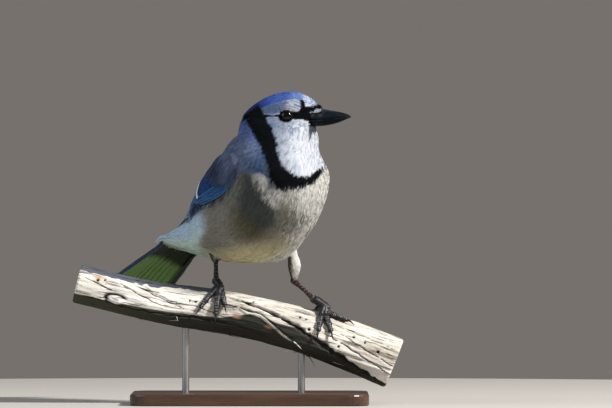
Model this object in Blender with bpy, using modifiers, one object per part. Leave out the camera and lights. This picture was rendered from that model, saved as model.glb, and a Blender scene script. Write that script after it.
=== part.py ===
"""A blue jay on a short cut branch, held over a flat base by two rods.

Metres, +Z up. The origin is the middle of the base's underside. The branch runs along X, and the bird
looks along +X with its breast turned towards -Y. Tables are in millimetres and degrees.
"""

import math

import bmesh
import bpy
import numpy as np
from mathutils import Vector

MM = 0.001
GAP = 0.3 * MM
WELD = 0.001 * MM

# The bird's own frame: f forward, s to its left, u up from the floor.
BODY_YAW = math.radians(-50.0)
BODY_X = 3.3 * MM
NECK_PIVOT = 25.0 * MM
HEAD_TURN = math.radians(47.0)
HEAD_X = BODY_X + NECK_PIVOT * math.cos(BODY_YAW)
HEAD_Y = NECK_PIVOT * math.sin(BODY_YAW)
HEAD_YAW = BODY_YAW + HEAD_TURN

# Sections of the trunk and neck from over the tail to inside the head.
# Back f and u, belly f and u, half width, share of the head's turn, roll towards the left.
TRUNK_ROWS = (
    (-102.0, 105.5, -99.0, 100.0, 19.5, 0.0, 13.0),
    (-89.0, 113.5, -86.0, 108.0, 17.6, 0.0, 13.0),
    (-76.0, 121.5, -71.5, 105.5, 16.5, 0.0, 11.0),
    (-64.0, 130.0, -55.0, 102.5, 16.8, 0.0, 6.0),
    (-54.0, 140.0, -38.0, 100.5, 20.0, 0.0, 2.0),
    (-45.0, 150.5, -19.0, 99.0, 25.5, 0.0, 0.0),
    (-35.0, 160.5, 3.0, 99.0, 30.5, 0.0, 0.0),
    (-24.0, 170.5, 25.0, 104.5, 33.5, 0.0, 0.0),
    (-15.5, 180.5, 44.0, 118.0, 34.5, 0.0, 0.0),
    (-7.5, 187.8, 57.0, 136.5, 34.0, 0.0, 0.0),
    (-1.0, 191.0, 61.5, 153.5, 32.0, 0.1, 0.0),
    (-1.0, 194.5, 57.5, 166.5, 28.5, 0.4, 0.0),
    (-1.5, 197.0, 53.5, 177.5, 25.5, 0.8, 0.0),
    (-1.0, 199.5, 52.5, 186.0, 22.5, 1.0, 0.0),
    (2.0, 203.0, 52.0, 193.0, 18.0, 1.0, 0.0),
)
TAIL_EXIT = 1.0
NECK_BASE = 10.4
NECK_TOP = 14.0
NECK_GAP = 0.08
TRUNK_FULLNESS = 0.03

# Sections of the head: forward of the pivot, top u, bottom u, half width.
HEAD_ROWS = (
    (-23.5, 204.0, 196.0, 3.5),
    (-19.5, 207.0, 190.5, 9.5),
    (-13.5, 211.8, 186.5, 13.8),
    (-5.5, 215.8, 184.5, 16.2),
    (2.5, 217.8, 184.0, 16.6),
    (10.5, 218.4, 185.5, 15.4),
    (17.5, 217.4, 188.5, 13.0),
    (22.5, 215.2, 191.0, 10.8),
    (26.0, 212.2, 192.7, 8.6),
    (28.6, 208.6, 193.8, 6.6),
)
HEAD_CHEEK = -0.22

# The flat crest on the back of the head: forward of the pivot, middle u, half thickness, half width.
CREST_ROWS = (
    (-8.0, 212.5, 2.4, 9.5),
    (-14.0, 209.6, 2.6, 8.6),
    (-19.0, 206.3, 2.3, 6.6),
    (-23.0, 202.9, 1.6, 4.2),
    (-26.0, 199.9, 0.7, 1.6),
)

# The beak: forward of the pivot, ridge u, edge u, keel u, half width.
BEAK_ROWS = (
    (28.9, 207.6, 198.7, 194.2, 5.4),
    (31.5, 206.7, 198.6, 194.3, 5.0),
    (36.0, 205.5, 198.9, 195.1, 4.1),
    (41.0, 204.3, 199.5, 196.4, 3.1),
    (46.0, 202.9, 200.2, 198.2, 1.9),
    (49.0, 201.8, 200.7, 199.5, 1.0),
    (50.6, 201.2, 200.9, 200.1, 0.45),
)

EYE_RADIUS = 5.4 * MM
EYE_AT = (6.9 * MM, 11.0 * MM, 201.1 * MM)

# The wing lies on the trunk: section, upper and lower angle round it, thickness.
WING_ROWS = (
    (9.5, 158.0, 168.0, 0.8),
    (8.9, 145.0, 176.0, 1.8),
    (8.0, 131.0, 181.0, 2.8),
    (6.8, 120.0, 182.0, 3.4),
    (5.6, 111.0, 176.0, 3.2),
    (4.5, 104.0, 162.0, 2.6),
    (3.4, 99.0, 143.0, 2.0),
    (2.4, 97.0, 126.0, 1.4),
    (1.6, 101.0, 113.0, 0.8),
)
WING_LIFT = 0.5 * MM

# The tail leaves the coverts as a fan of twelve feathers, here one arched plate.
TAIL_DROP = math.radians(30.5)
TAIL_ROLL = math.radians(13.0)
TAIL_ROOT = (-89.4 * MM, 111.0 * MM)
TAIL_LENGTH = 80.0 * MM
TAIL_HALF_ROOT = 16.6 * MM
TAIL_SPREAD = math.tan(math.radians(9.5))
TAIL_ARCH = 4.5 * MM
TAIL_SHORTER = 17.0 * MM
TAIL_THICK = 1.6 * MM

# Each leg: hip, knee bulge and heel, then the ball of the foot, and where each toe ends on the branch.
LEGS = {
    "right": {
        "thigh": ((-26.0, 12.0, 122.0), (-25.0, 15.5, 110.0), (-24.1, 13.6, 100.4)),
        "thigh_radii": (8.0, 5.6, 2.7),
        "heel": (-24.3, 18.6, 106.0),
        "ball": (-23.6, -3.2, 86.0),
        "toes": {1: (-26.5, 168.0), 2: (-18.4, 20.0), 3: (-23.4, -8.0), 4: (-34.5, 6.0)},
    },
    "left": {
        "thigh": ((21.0, 3.0, 118.0), (26.0, 11.0, 101.0), (29.8, 19.5, 88.3)),
        "thigh_radii": (10.0, 5.6, 2.9),
        "heel": (30.2, 20.2, 86.4),
        "ball": (44.6, -6.0, 73.6),
        "toes": {1: (37.0, 146.0), 2: (46.8, 12.0), 3: (54.6, 20.0), 4: (61.5, 66.0)},
    },
}
TARSUS_RADII = (2.1, 1.45, 1.5, 2.0)
BALL_RADIUS = 2.5 * MM
TOE_RADII = {1: (1.9, 1.3), 2: (1.7, 1.15), 3: (1.9, 1.2), 4: (1.7, 1.1)}
TOE_LANDS = 0.36
CLAW_LENGTH = {1: 8.0 * MM, 2: 6.4 * MM, 3: 7.2 * MM, 4: 6.2 * MM}
CLAW_TIP_RADIUS = 0.3 * MM
CLAW_ARCH = 1.4 * MM
CLAW_COLLAR = 0.4 * MM

# The branch: its middle line in X and Z, and its radius there.
BRANCH_ROWS = (
    (-190.0, 104.0, 14.0),
    (-128.0, 86.3, 14.1),
    (-60.0, 70.3, 14.3),
    (0.0, 61.0, 15.4),
    (60.0, 43.8, 17.0),
    (116.0, 22.4, 17.8),
    (170.0, 2.0, 18.0),
)
BRANCH_LEFT = -121.0 * MM
BRANCH_RIGHT = 101.0 * MM
KNOT_X = -92.0 * MM
KNOT_ANGLE = math.radians(6.0)
KNOT_RADIUS = 4.2 * MM
KNOT_RISE = 3.0 * MM

# The stand.
BASE_SIZE = (166.0 * MM, 118.0 * MM, 8.0 * MM)
BASE_CORNER = 14.0 * MM
BASE_EDGE = 1.2 * MM
ROD_RADIUS = 2.5 * MM
ROD_AT = (-45.0 * MM, 36.0 * MM)
ROD_IN_BRANCH = 7.0 * MM
ROD_IN_BASE = 5.0 * MM

# Colours, then roughness and metallic value.
FINISHES = {
    "crown_blue": ((0.060, 0.130, 0.360), 0.70, 0.0),
    "mantle_blue": ((0.080, 0.110, 0.190), 0.75, 0.0),
    "wing_blue": ((0.040, 0.150, 0.330), 0.65, 0.0),
    "breast_grey": ((0.480, 0.480, 0.450), 0.85, 0.0),
    "tail_olive": ((0.060, 0.090, 0.045), 0.70, 0.0),
    "beak_black": ((0.020, 0.026, 0.032), 0.40, 0.0),
    "eye_brown": ((0.012, 0.008, 0.006), 0.05, 0.0),
    "leg_black": ((0.030, 0.028, 0.030), 0.55, 0.0),
    "claw_black": ((0.015, 0.015, 0.017), 0.35, 0.0),
    "dry_wood": ((0.480, 0.470, 0.430), 0.90, 0.0),
    "stand_wood": ((0.045, 0.028, 0.018), 0.35, 0.0),
    "stand_steel": ((0.450, 0.450, 0.460), 0.30, 1.0),
}


def clear_scene():
    for obj in list(bpy.data.objects):
        bpy.data.objects.remove(obj)


def collection(name):
    made = bpy.data.collections.new(name)
    bpy.context.scene.collection.children.link(made)
    return made


def finish(name):
    """The material of that name, made once."""
    if name in bpy.data.materials:
        return bpy.data.materials[name]
    colour, roughness, metallic = FINISHES[name]
    material = bpy.data.materials.new(name)
    material.use_nodes = True
    shader = material.node_tree.nodes["Principled BSDF"]
    shader.inputs["Base Color"].default_value = (*colour, 1.0)
    shader.inputs["Roughness"].default_value = roughness
    shader.inputs["Metallic"].default_value = metallic
    return material


def along(rows, t):
    """The values of a table at row t, on a smooth curve through its rows."""
    table = np.asarray(rows, float)
    t = min(max(t, 0.0), len(table) - 1.0)
    i = min(int(t), len(table) - 2)
    x = t - i
    before = table[i - 1] if i else 2 * table[0] - table[1]
    after = table[i + 2] if i + 2 < len(table) else 2 * table[-1] - table[-2]
    a, b = table[i], table[i + 1]
    bend = 2 * before - 5 * a + 4 * b - after
    return a + 0.5 * x * (b - before + x * (bend + x * (3 * (a - b) + after - before)))


def row_at(rows, value):
    """The row, as a fraction, where a table's first column reaches a value."""
    low, high = 0.0, len(rows) - 1.0
    rising = rows[-1][0] > rows[0][0]
    for _ in range(40):
        middle = (low + high) / 2
        if (along(rows, middle)[0] < value) == rising:
            low = middle
        else:
            high = middle
    return (low + high) / 2


def turned(forward, side, angle):
    """A place forward of the neck's pivot and to its left, turned about it, in world X and Y."""
    x = HEAD_X + forward * math.cos(angle) - side * math.sin(angle)
    y = HEAD_Y + forward * math.sin(angle) + side * math.cos(angle)
    return x, y


def trunk_point(t, angle, grow=0.0):
    """A point on the trunk and neck: 0 degrees is the bird's left, 90 its back, 270 its belly."""
    back_f, back_u, belly_f, belly_u, half, turn, roll = along(TRUNK_ROWS, t)
    back, belly = np.array((back_f, back_u)) * MM, np.array((belly_f, belly_u)) * MM
    depth = np.linalg.norm(back - belly) / 2
    full = 1 + TRUNK_FULLNESS * math.sin(2 * angle) ** 2
    f, u = (back + belly) / 2 + (back - belly) / (2 * depth) * (depth + grow) * full * math.sin(angle)
    s = (half * MM + grow) * full * math.cos(angle)
    x, y = turned(f - NECK_PIVOT, s, BODY_YAW + turn * HEAD_TURN)
    return Vector((x, y, u - s * math.sin(math.radians(roll))))


def trunk_normal(t, angle):
    """The outward normal of the trunk."""
    step = 0.02
    round_it = trunk_point(t, angle + step) - trunk_point(t, angle - step)
    forward = trunk_point(t + step, angle) - trunk_point(t - step, angle)
    return round_it.cross(forward).normalized()


def head_place(forward, side, up):
    x, y = turned(forward, side, HEAD_YAW)
    return Vector((x, y, up))


def head_point(t, angle, grow=0.0):
    """A point on the head, whose sections are widest low down, at the cheeks."""
    forward, top, bottom, half = along(HEAD_ROWS, t) * MM
    depth = (top - bottom) / 2 + grow
    level = math.sin(angle) + HEAD_CHEEK * math.cos(angle) ** 2
    return head_place(forward, (half + grow) * math.cos(angle), (top + bottom) / 2 + depth * level)


def branch_middle(x):
    """The middle of the branch at X, and its slope there."""
    step = 1.0 * MM
    low, at, high = (along(BRANCH_ROWS, row_at(BRANCH_ROWS, v / MM)) for v in (x - step, x, x + step))
    return Vector((x, 0, at[1] * MM)), (high[1] - low[1]) * MM / (2 * step), at[2] * MM


def branch_point(x, angle, lift=0.0):
    """A point over the branch's surface: 0 degrees faces -Y, 90 is the top."""
    middle, slope, radius = branch_middle(x)
    up = Vector((-slope, 0, 1)).normalized()
    wave = 1 + 0.03 * math.sin(2 * angle + x / (24 * MM)) + 0.02 * math.sin(3 * angle - x / (15 * MM))
    out = Vector((0, -math.cos(angle), 0)) + up * math.sin(angle)
    return middle + out * (radius * wave + lift)


def loft(name, rings, material, place):
    """A closed solid through rings of points, with a fan on each end. Rings run round to the left."""
    mesh = bpy.data.meshes.new(name)
    form = bmesh.new()
    rows = [[form.verts.new(p) for p in ring] for ring in rings]
    for near, far in zip(rows, rows[1:]):
        for i, corner in enumerate(near):
            j = (i + 1) % len(near)
            form.faces.new((corner, near[j], far[j], far[i]))
    for row in (rows[0], rows[-1]):
        middle = form.verts.new(sum((v.co for v in row), Vector()) / len(row))
        for i, corner in enumerate(row):
            form.faces.new((corner, row[(i + 1) % len(row)], middle))
    bmesh.ops.recalc_face_normals(form, faces=form.faces)
    form.to_mesh(mesh)
    form.free()
    return place_mesh(name, mesh, material, place)


def place_mesh(name, mesh, material, place):
    mesh.materials.append(finish(material))
    mesh.shade_smooth()
    mesh.set_sharp_from_angle(angle=math.radians(40))
    made = bpy.data.objects.new(name, mesh)
    place.objects.link(made)
    if place.name == "cutters":
        made.hide_render = True
        made.display_type = "WIRE"
    return made


def cut(target, *cutters):
    """Takes each cutter away from the target."""
    for cutter in cutters:
        boolean = target.modifiers.new(f"less {cutter.name}", "BOOLEAN")
        boolean.operation = "DIFFERENCE"
        boolean.object = cutter


def join(target, *others):
    for other in others:
        boolean = target.modifiers.new(f"with {other.name}", "BOOLEAN")
        boolean.operation = "UNION"
        boolean.object = other


def angles(count):
    return [2 * math.pi * i / count for i in range(count)]


def spaced(low, high, count):
    return [low + (high - low) * i / (count - 1) for i in range(count)]


def tube(name, path, radii, resolution, material, place):
    """A tube along a path of points, with its own radius at each, as a closed mesh."""
    curve = bpy.data.curves.new(name, "CURVE")
    curve.dimensions = "3D"
    curve.bevel_depth = 1.0
    curve.bevel_resolution = resolution
    curve.use_fill_caps = True
    spline = curve.splines.new("POLY")
    spline.points.add(len(path) - 1)
    for point, at, radius in zip(spline.points, path, radii):
        point.co = (*at, 1.0)
        point.radius = radius
    holder = bpy.data.objects.new(name, curve)
    mesh = bpy.data.meshes.new_from_object(holder)
    bpy.data.objects.remove(holder)
    bpy.data.curves.remove(curve)
    form = bmesh.new()
    form.from_mesh(mesh)
    bmesh.ops.remove_doubles(form, verts=form.verts, dist=WELD)
    form.to_mesh(mesh)
    form.free()
    return place_mesh(name, mesh, material, place)


def rod(name, x, low, high, radius, material, place):
    """An upright cylinder, from Blender's primitive."""
    form = bmesh.new()
    ends = {"radius1": radius, "radius2": radius, "depth": high - low}
    bmesh.ops.create_cone(form, cap_ends=True, segments=16, **ends)
    bmesh.ops.translate(form, verts=form.verts, vec=(x, 0, (low + high) / 2))
    mesh = bpy.data.meshes.new(name)
    form.to_mesh(mesh)
    form.free()
    return place_mesh(name, mesh, material, place)


def ball(name, at, radius, material, place, segments=16, rings=10):
    """A sphere, from Blender's primitive."""
    form = bmesh.new()
    bmesh.ops.create_uvsphere(form, u_segments=segments, v_segments=rings, radius=radius)
    bmesh.ops.translate(form, verts=form.verts, vec=at)
    mesh = bpy.data.meshes.new(name)
    form.to_mesh(mesh)
    form.free()
    return place_mesh(name, mesh, material, place)


def trunk_loft(name, low, high, rows, sides, material, place, grow=0.0):
    rings = [[trunk_point(t, a, grow) for a in angles(sides)] for t in spaced(low, high, rows)]
    return loft(name, rings, material, place)


def make_head(jay, cutters):
    """The head, with a socket for each eye, and the crest that lies on it."""
    sections = spaced(0.0, len(HEAD_ROWS) - 1.0, 17)
    head = loft("head", [[head_point(t, a) for a in angles(24)] for t in sections], "crown_blue", jay)
    grown = [[head_point(t, a, GAP) for a in angles(24)] for t in sections]
    room = loft("head_room", grown, "crown_blue", cutters)
    for side, sign in (("right", -1), ("left", 1)):
        at = head_place(EYE_AT[0], sign * EYE_AT[1], EYE_AT[2])
        ball(f"eye_{side}", at, EYE_RADIUS, "eye_brown", jay)
        cut(head, ball(f"eye_{side}_room", at, EYE_RADIUS + GAP, "eye_brown", cutters, 20, 12))
    rings = []
    for t in spaced(0.0, len(CREST_ROWS) - 1.0, 8):
        forward, up, thick, half = along(CREST_ROWS, t) * MM
        rings.append([
            head_place(forward, half * math.cos(a), up + thick * math.sin(a) - 0.12 * half * math.cos(a) ** 2)
            for a in angles(12)
        ])
    crest = loft("crest", rings, "crown_blue", jay)
    cut(crest, room)
    return room


def make_beak(jay):
    """The two halves of the beak, flat where they meet."""
    upper, lower = [], []
    for t in spaced(0.0, len(BEAK_ROWS) - 1.0, 11):
        forward, ridge, edge, keel, half = along(BEAK_ROWS, t) * MM
        arch = [math.pi * i / 8 for i in range(9)]
        rise = ridge - edge
        upper.append([
            head_place(forward, half * math.cos(a), edge + GAP / 2 + (rise - GAP / 2) * math.sin(a) ** 0.9)
            for a in arch
        ])
        drop = edge - keel
        lower.append([
            head_place(forward, -0.92 * half * math.cos(a), edge - GAP / 2 - (drop - GAP / 2) * math.sin(a) ** 0.8)
            for a in arch
        ])
    loft("beak_upper", upper, "beak_black", jay)
    loft("beak_lower", lower, "beak_black", jay)


def make_body(jay, cutters, head_room):
    """The trunk with its tail coverts, and the neck, which the head is set into."""
    trunk_loft("trunk", TAIL_EXIT, NECK_BASE, 22, 28, "breast_grey", jay)
    neck = trunk_loft("neck", NECK_BASE + NECK_GAP, NECK_TOP, 9, 28, "mantle_blue", jay)
    cut(neck, head_room)
    cut(bpy.data.objects["crest"], trunk_loft("neck_room", 9.0, NECK_TOP, 12, 28, "mantle_blue", cutters, GAP))
    return trunk_loft("trunk_room", TAIL_EXIT, NECK_BASE, 22, 28, "breast_grey", cutters, GAP)


def make_wing(side, mirror, jay):
    """A folded wing: a shell on the trunk, thickest in its middle, that narrows to its tip."""
    rings = []
    for t in spaced(0.0, len(WING_ROWS) - 1.0, 15):
        section, upper, lower, thick = along(WING_ROWS, t)
        across = [math.radians(lower + (upper - lower) * i / 6) for i in range(7)]
        inner, outer = [], []
        for i, angle in enumerate(across):
            angle = math.pi - angle if mirror else angle
            at, out = trunk_point(section, angle), trunk_normal(section, angle)
            share = 2 * i / 6 - 1
            inner.append(at + out * WING_LIFT)
            outer.append(at + out * (WING_LIFT + 0.5 * MM + thick * MM * math.sqrt(max(0.0, 1 - share**2))))
        rings.append(inner + outer[::-1])
    loft(f"wing_{side}", rings, "wing_blue", jay)


def make_tail(jay):
    """The fan of the tail, arched from side to side, with its outer feathers shorter."""
    rings = []
    for i in range(9):
        share = i / 8
        upper, lower = [], []
        for j in range(11):
            across = j / 5 - 1
            reach = (TAIL_LENGTH - TAIL_SHORTER * abs(across) ** 2.5) * share
            half = TAIL_HALF_ROOT + TAIL_SPREAD * reach
            f = TAIL_ROOT[0] - reach * math.cos(TAIL_DROP)
            u = TAIL_ROOT[1] - reach * math.sin(TAIL_DROP) - TAIL_ARCH * across**2
            u -= half * across * math.sin(TAIL_ROLL)
            x, y = turned(f - NECK_PIVOT, half * across, BODY_YAW)
            thick = TAIL_THICK * (1 - 0.5 * across**4) / 2
            upper.append(Vector((x, y, u + thick)))
            lower.append(Vector((x, y, u - thick)))
        rings.append(upper + lower[::-1])
    loft("tail", rings, "tail_olive", jay)


def toe_path(leg, toe):
    """Points from the ball of the foot down to the branch and round it, and on along the claw."""
    at = Vector(leg["ball"]) * MM
    end_x, end_angle = leg["toes"][toe]
    radius = TOE_RADII[toe][1] * MM
    start_angle = math.radians(90 + (15 if toe == 1 else -10))
    clear = (at - branch_point(at.x, start_angle)).length
    points = []
    for share in spaced(0.0, 1.0, 9):
        x = at.x + (end_x * MM - at.x) * share
        angle = start_angle + (math.radians(end_angle) - start_angle) * share
        fall = max(0.0, 1 - share / TOE_LANDS) ** 2
        lift = radius + GAP + 0.1 * MM + (clear - radius) * fall
        points.append(branch_point(x, angle, lift))
    points[0] = at
    return points


def make_claw(name, path, radius, length, jay):
    """A claw: a short straight collar off the end of its toe, then an arch down to a point."""
    ahead = (path[-1] - path[-2]).normalized()
    clear = (path[-1] - branch_middle(path[-1].x)[0]).length
    start = path[-1] + ahead * GAP
    points, radii = [start], [radius]
    for share in spaced(0.0, 1.0, 6):
        flat = start + ahead * (CLAW_COLLAR + length * share)
        middle = branch_middle(flat.x)[0]
        out = (flat - middle).normalized()
        fall = (flat - middle).length - clear + (radius - CLAW_TIP_RADIUS)
        points.append(flat + out * (CLAW_ARCH * math.sin(math.pi * share) - fall * share))
        radii.append(radius + (CLAW_TIP_RADIUS - radius) * share**1.3)
    tube(name, points, radii, 1, "claw_black", jay)


def make_leg(side, leg, jay, cutters, trunk_room):
    """A feathered thigh, a bare tarsus, the foot with its four toes, and their claws."""
    thigh = [Vector(p) * MM for p in leg["thigh"]]
    spine = [Vector(along(thigh, t)) for t in spaced(0.0, 2.0, 7)]
    radii = [float(along([(r,) for r in leg["thigh_radii"]], t)[0]) * MM for t in spaced(0.0, 2.0, 7)]
    heel, foot = Vector(leg["heel"]) * MM, Vector(leg["ball"]) * MM
    shank = [heel.lerp(foot, t) for t in spaced(0.0, 1.0, 8)]
    shank_radii = [float(along([(r,) for r in TARSUS_RADII], t)[0]) * MM for t in spaced(0.0, 3.0, 8)]
    room = tube(f"tarsus_{side}_room", shank, [r + GAP for r in shank_radii], 1, "leg_black", cutters)
    upper = tube(f"thigh_{side}", spine, radii, 2, "breast_grey", jay)
    cut(upper, trunk_room, room)
    lower = tube(f"tarsus_{side}", shank, shank_radii, 1, "leg_black", jay)
    cut(lower, trunk_room, ball(f"ball_{side}_room", foot, BALL_RADIUS + GAP, "leg_black", cutters))
    pad = ball(f"foot_{side}", foot, BALL_RADIUS, "leg_black", jay, 12, 8)
    for toe, (thick, thin) in TOE_RADII.items():
        path = toe_path(leg, toe)
        widths = [(thick + (thin - thick) * i / (len(path) - 1)) * MM for i in range(len(path))]
        widths = [w * (1 + 0.09 * math.cos(i * math.pi)) for i, w in enumerate(widths)]
        join(pad, tube(f"toe_{side}_{toe}", path, widths, 1, "leg_black", cutters))
        room = [w + GAP for w in widths[:5]]
        cut(lower, tube(f"toe_{side}_{toe}_room", path[:5], room, 1, "leg_black", cutters))
        make_claw(f"claw_{side}_{toe}", path, widths[-1] * 0.9, CLAW_LENGTH[toe], jay)


def make_perch(jay, cutters):
    """The branch with sockets for the rods, and the stub of a broken twig on its near side."""
    stations = spaced(BRANCH_LEFT, BRANCH_RIGHT, 23)
    perch = loft("perch", [[branch_point(x, a) for a in angles(20)] for x in stations], "dry_wood", jay)
    room = [[branch_point(x, a, GAP) for a in angles(20)] for x in stations]
    at, radius = branch_point(KNOT_X, KNOT_ANGLE), KNOT_RADIUS
    out = (at - branch_middle(KNOT_X)[0]).normalized()
    path = [at - out * 3 * MM, at, at + out * KNOT_RISE * 0.7, at + out * KNOT_RISE]
    knot = tube("perch_knot", path, [radius, radius * 1.1, radius, radius * 0.6], 2, "dry_wood", jay)
    cut(knot, loft("perch_room", room, "dry_wood", cutters))
    return perch


def make_stand(perch, jay, cutters):
    """A flat base with soft edges, and two rods set into it and into the branch."""
    width, depth, height = BASE_SIZE
    form = bmesh.new()
    bmesh.ops.create_cube(form, size=1.0)
    bmesh.ops.scale(form, verts=form.verts, vec=BASE_SIZE)
    bmesh.ops.translate(form, verts=form.verts, vec=(0, 0, height / 2))
    upright = [e for e in form.edges if abs(e.verts[0].co.z - e.verts[1].co.z) > height / 2]
    bmesh.ops.bevel(form, geom=upright, offset=BASE_CORNER, segments=6, profile=0.5, affect="EDGES")
    mesh = bpy.data.meshes.new("stand_base")
    form.to_mesh(mesh)
    form.free()
    base = place_mesh("stand_base", mesh, "stand_wood", jay)
    edge = base.modifiers.new("soft edge", "BEVEL")
    edge.width, edge.segments, edge.limit_method = BASE_EDGE, 2, "ANGLE"
    for number, x in enumerate(ROD_AT, 1):
        under = branch_point(x, math.radians(270)).z
        ends = (height - ROD_IN_BASE, under + ROD_IN_BRANCH)
        rod(f"stand_rod_{number}", x, *ends, ROD_RADIUS, "stand_steel", jay)
        room = (ends[0] - GAP, ends[1] + GAP, ROD_RADIUS + GAP)
        hole = rod(f"rod_{number}_room", x, *room, "stand_steel", cutters)
        cut(perch, hole)
        cut(base, hole)


def main():
    clear_scene()
    jay, cutters = collection("blue_jay"), collection("cutters")
    head_room = make_head(jay, cutters)
    make_beak(jay)
    trunk_room = make_body(jay, cutters, head_room)
    make_wing("right", False, jay)
    make_wing("left", True, jay)
    make_tail(jay)
    for side, leg in LEGS.items():
        make_leg(side, leg, jay, cutters, trunk_room)
    perch = make_perch(jay, cutters)
    make_stand(perch, jay, cutters)


main()
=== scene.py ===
"""A life-size still model of a blue jay that grips a length of weathered branch on a plain stand.

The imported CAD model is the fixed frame. Each class builds and dresses one sub-assembly in its place.
"""

import logging
import math
from dataclasses import dataclass
from enum import Enum

import bpy
import numpy as np
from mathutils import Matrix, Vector
from mathutils.bvhtree import BVHTree


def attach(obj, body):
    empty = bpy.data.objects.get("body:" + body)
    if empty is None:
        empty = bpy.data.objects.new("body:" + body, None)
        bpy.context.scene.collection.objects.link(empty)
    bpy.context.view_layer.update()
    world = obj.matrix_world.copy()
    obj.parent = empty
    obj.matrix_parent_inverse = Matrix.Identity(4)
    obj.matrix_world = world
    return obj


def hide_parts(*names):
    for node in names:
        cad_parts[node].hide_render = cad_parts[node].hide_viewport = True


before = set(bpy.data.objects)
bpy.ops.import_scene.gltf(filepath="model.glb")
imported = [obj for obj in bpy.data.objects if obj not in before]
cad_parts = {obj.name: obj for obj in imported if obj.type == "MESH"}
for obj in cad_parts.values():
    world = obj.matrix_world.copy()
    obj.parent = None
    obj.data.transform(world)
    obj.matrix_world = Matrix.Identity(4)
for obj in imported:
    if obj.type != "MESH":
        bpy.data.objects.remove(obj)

log = logging.getLogger("jay")
MM = 0.001
Array = np.ndarray
Numbers = tuple[float, ...]
Rows = tuple[Numbers, ...]
Pair = tuple[float, float]
Outline = tuple[Pair, ...]
Spot = tuple[float, float, float]
Colour = tuple[float, float, float]
Window = tuple[float, float, float, float]
Piece = bpy.types.Object
Material = bpy.types.Material
Socket = bpy.types.NodeSocket


def linear(red: int, green: int, blue: int) -> Colour:
    """A display colour, 0 to 255, as linear light."""
    parts = [c / 255 for c in (red, green, blue)]
    return tuple(c / 12.92 if c <= 0.04045 else ((c + 0.055) / 1.055) ** 2.4 for c in parts)


def smooth(low: float, high: float, value: Array) -> Array:
    """A soft step from 0 at low to 1 at high."""
    share = np.clip((value - low) / (high - low), 0.0, 1.0)
    return share * share * (3 - 2 * share)


def unit(vectors: Array) -> Array:
    """The vectors, each of length 1."""
    return vectors / np.maximum(np.linalg.norm(vectors, axis=-1, keepdims=True), 1e-12)


def dot(a: Array, b: Array) -> Array:
    """The dot product of each pair, kept as a last axis of one."""
    return (a * b).sum(-1, keepdims=True)


def mixed(a: Array | Colour, b: Array | Colour, share: Array) -> Array:
    """Colours a turned into colours b by each point's share."""
    first = np.asarray(a)
    return first + (np.asarray(b) - first) * share[..., None]


def turns(count: int) -> Array:
    """Even turns round a ring, in radians from 0."""
    return np.arange(count) * 2 * math.pi / count


def grid_faces(rows: int, columns: int, closed: bool = True) -> tuple[Array, Array, Array]:
    """The faces of a sheet of rows and columns of points.

    Args:
        rows: How many rows of points there are.
        columns: How many points a row has.
        closed: Whether the last column meets the first.

    Returns:
        The numbers of each face's corners, and the row and the column that it starts from.
    """
    across = np.arange(columns if closed else columns - 1)
    i, j = (a.ravel() for a in np.meshgrid(np.arange(rows - 1), across, indexing="ij"))
    near, far, after = i * columns, (i + 1) * columns, (j + 1) % columns
    return np.stack([near + j, near + after, far + after, far + j], -1), i, j


def signed_inside(outline: Array, points: Array) -> Array:
    """How deep points lie inside a closed outline.

    Args:
        outline: The corners, (n, 2).
        points: The places to test, (..., 2).

    Returns:
        The distance to the outline, above zero inside.
    """
    nearest = np.full(points.shape[:-1], np.inf)
    crossings = np.zeros(points.shape[:-1], dtype=int)
    for a, b in zip(outline, np.roll(outline, -1, axis=0)):
        edge, reach = b - a, points - a
        share = np.clip((reach @ edge) / (edge @ edge), 0, 1)
        nearest = np.minimum(nearest, np.linalg.norm(reach - share[..., None] * edge, axis=-1))
        across = (a[1] > points[..., 1]) != (b[1] > points[..., 1])
        rise = edge[1] if edge[1] else 1e-12
        crossings += across & (points[..., 0] < a[0] + edge[0] * (points[..., 1] - a[1]) / rise)
    return np.where(crossings % 2 == 1, nearest, -nearest)


@dataclass(frozen=True)
class Track:
    """A smooth curve through rows of numbers, straight on beyond its ends."""

    rows: Array
    first: float = 0.0

    def at(self, place: Array) -> Array:
        """The row at each place along the curve.

        Args:
            place: Row numbers, counted from first, with fractions.

        Returns:
            The numbers of the rows there, on a new last axis.
        """
        rows = np.asarray(self.rows, dtype=float)
        count = len(rows)
        padded = np.vstack([2 * rows[:1] - rows[1:2], rows, 2 * rows[-1:] - rows[-2:-1]])
        place = np.asarray(place, dtype=float) - self.first
        held = np.clip(place, 0, count - 1)
        row = np.minimum(held.astype(int), count - 2)
        x = (held - row)[..., None]
        before, a, b, after = (padded[row + i] for i in range(4))
        cubic = 3 * (a - b) + after - before
        square = 2 * before - 5 * a + 4 * b - after
        value = a + 0.5 * x * (b - before + x * (square + x * cubic))
        beyond = (place - held)[..., None]
        return value + beyond * np.where(beyond < 0, rows[1] - rows[0], rows[-1] - rows[-2])


@dataclass(frozen=True)
class Lattice:
    """Smooth random values in space, the same in each run."""

    seed: int
    size: int = 32

    def __call__(self, points: Array, cell: float | Spot) -> Array:
        """Values from -1 to 1.

        Args:
            points: Places, (..., 3).
            cell: The size of one cell, the same or one for each axis.

        Returns:
            A value for each place.
        """
        table = np.random.default_rng(self.seed).random((self.size,) * 3) * 2 - 1
        spot = points / np.asarray(cell, dtype=float)
        low = np.floor(spot).astype(int)
        x = spot - low
        x = x * x * (3 - 2 * x)
        total = 0.0
        for corner in range(8):
            step = np.array([corner & 1, corner >> 1 & 1, corner >> 2 & 1])
            i, j, k = np.moveaxis((low + step) % self.size, -1, 0)
            total = total + table[i, j, k] * np.prod(np.where(step, x, 1 - x), axis=-1)
        return total


# Shader maths


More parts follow.
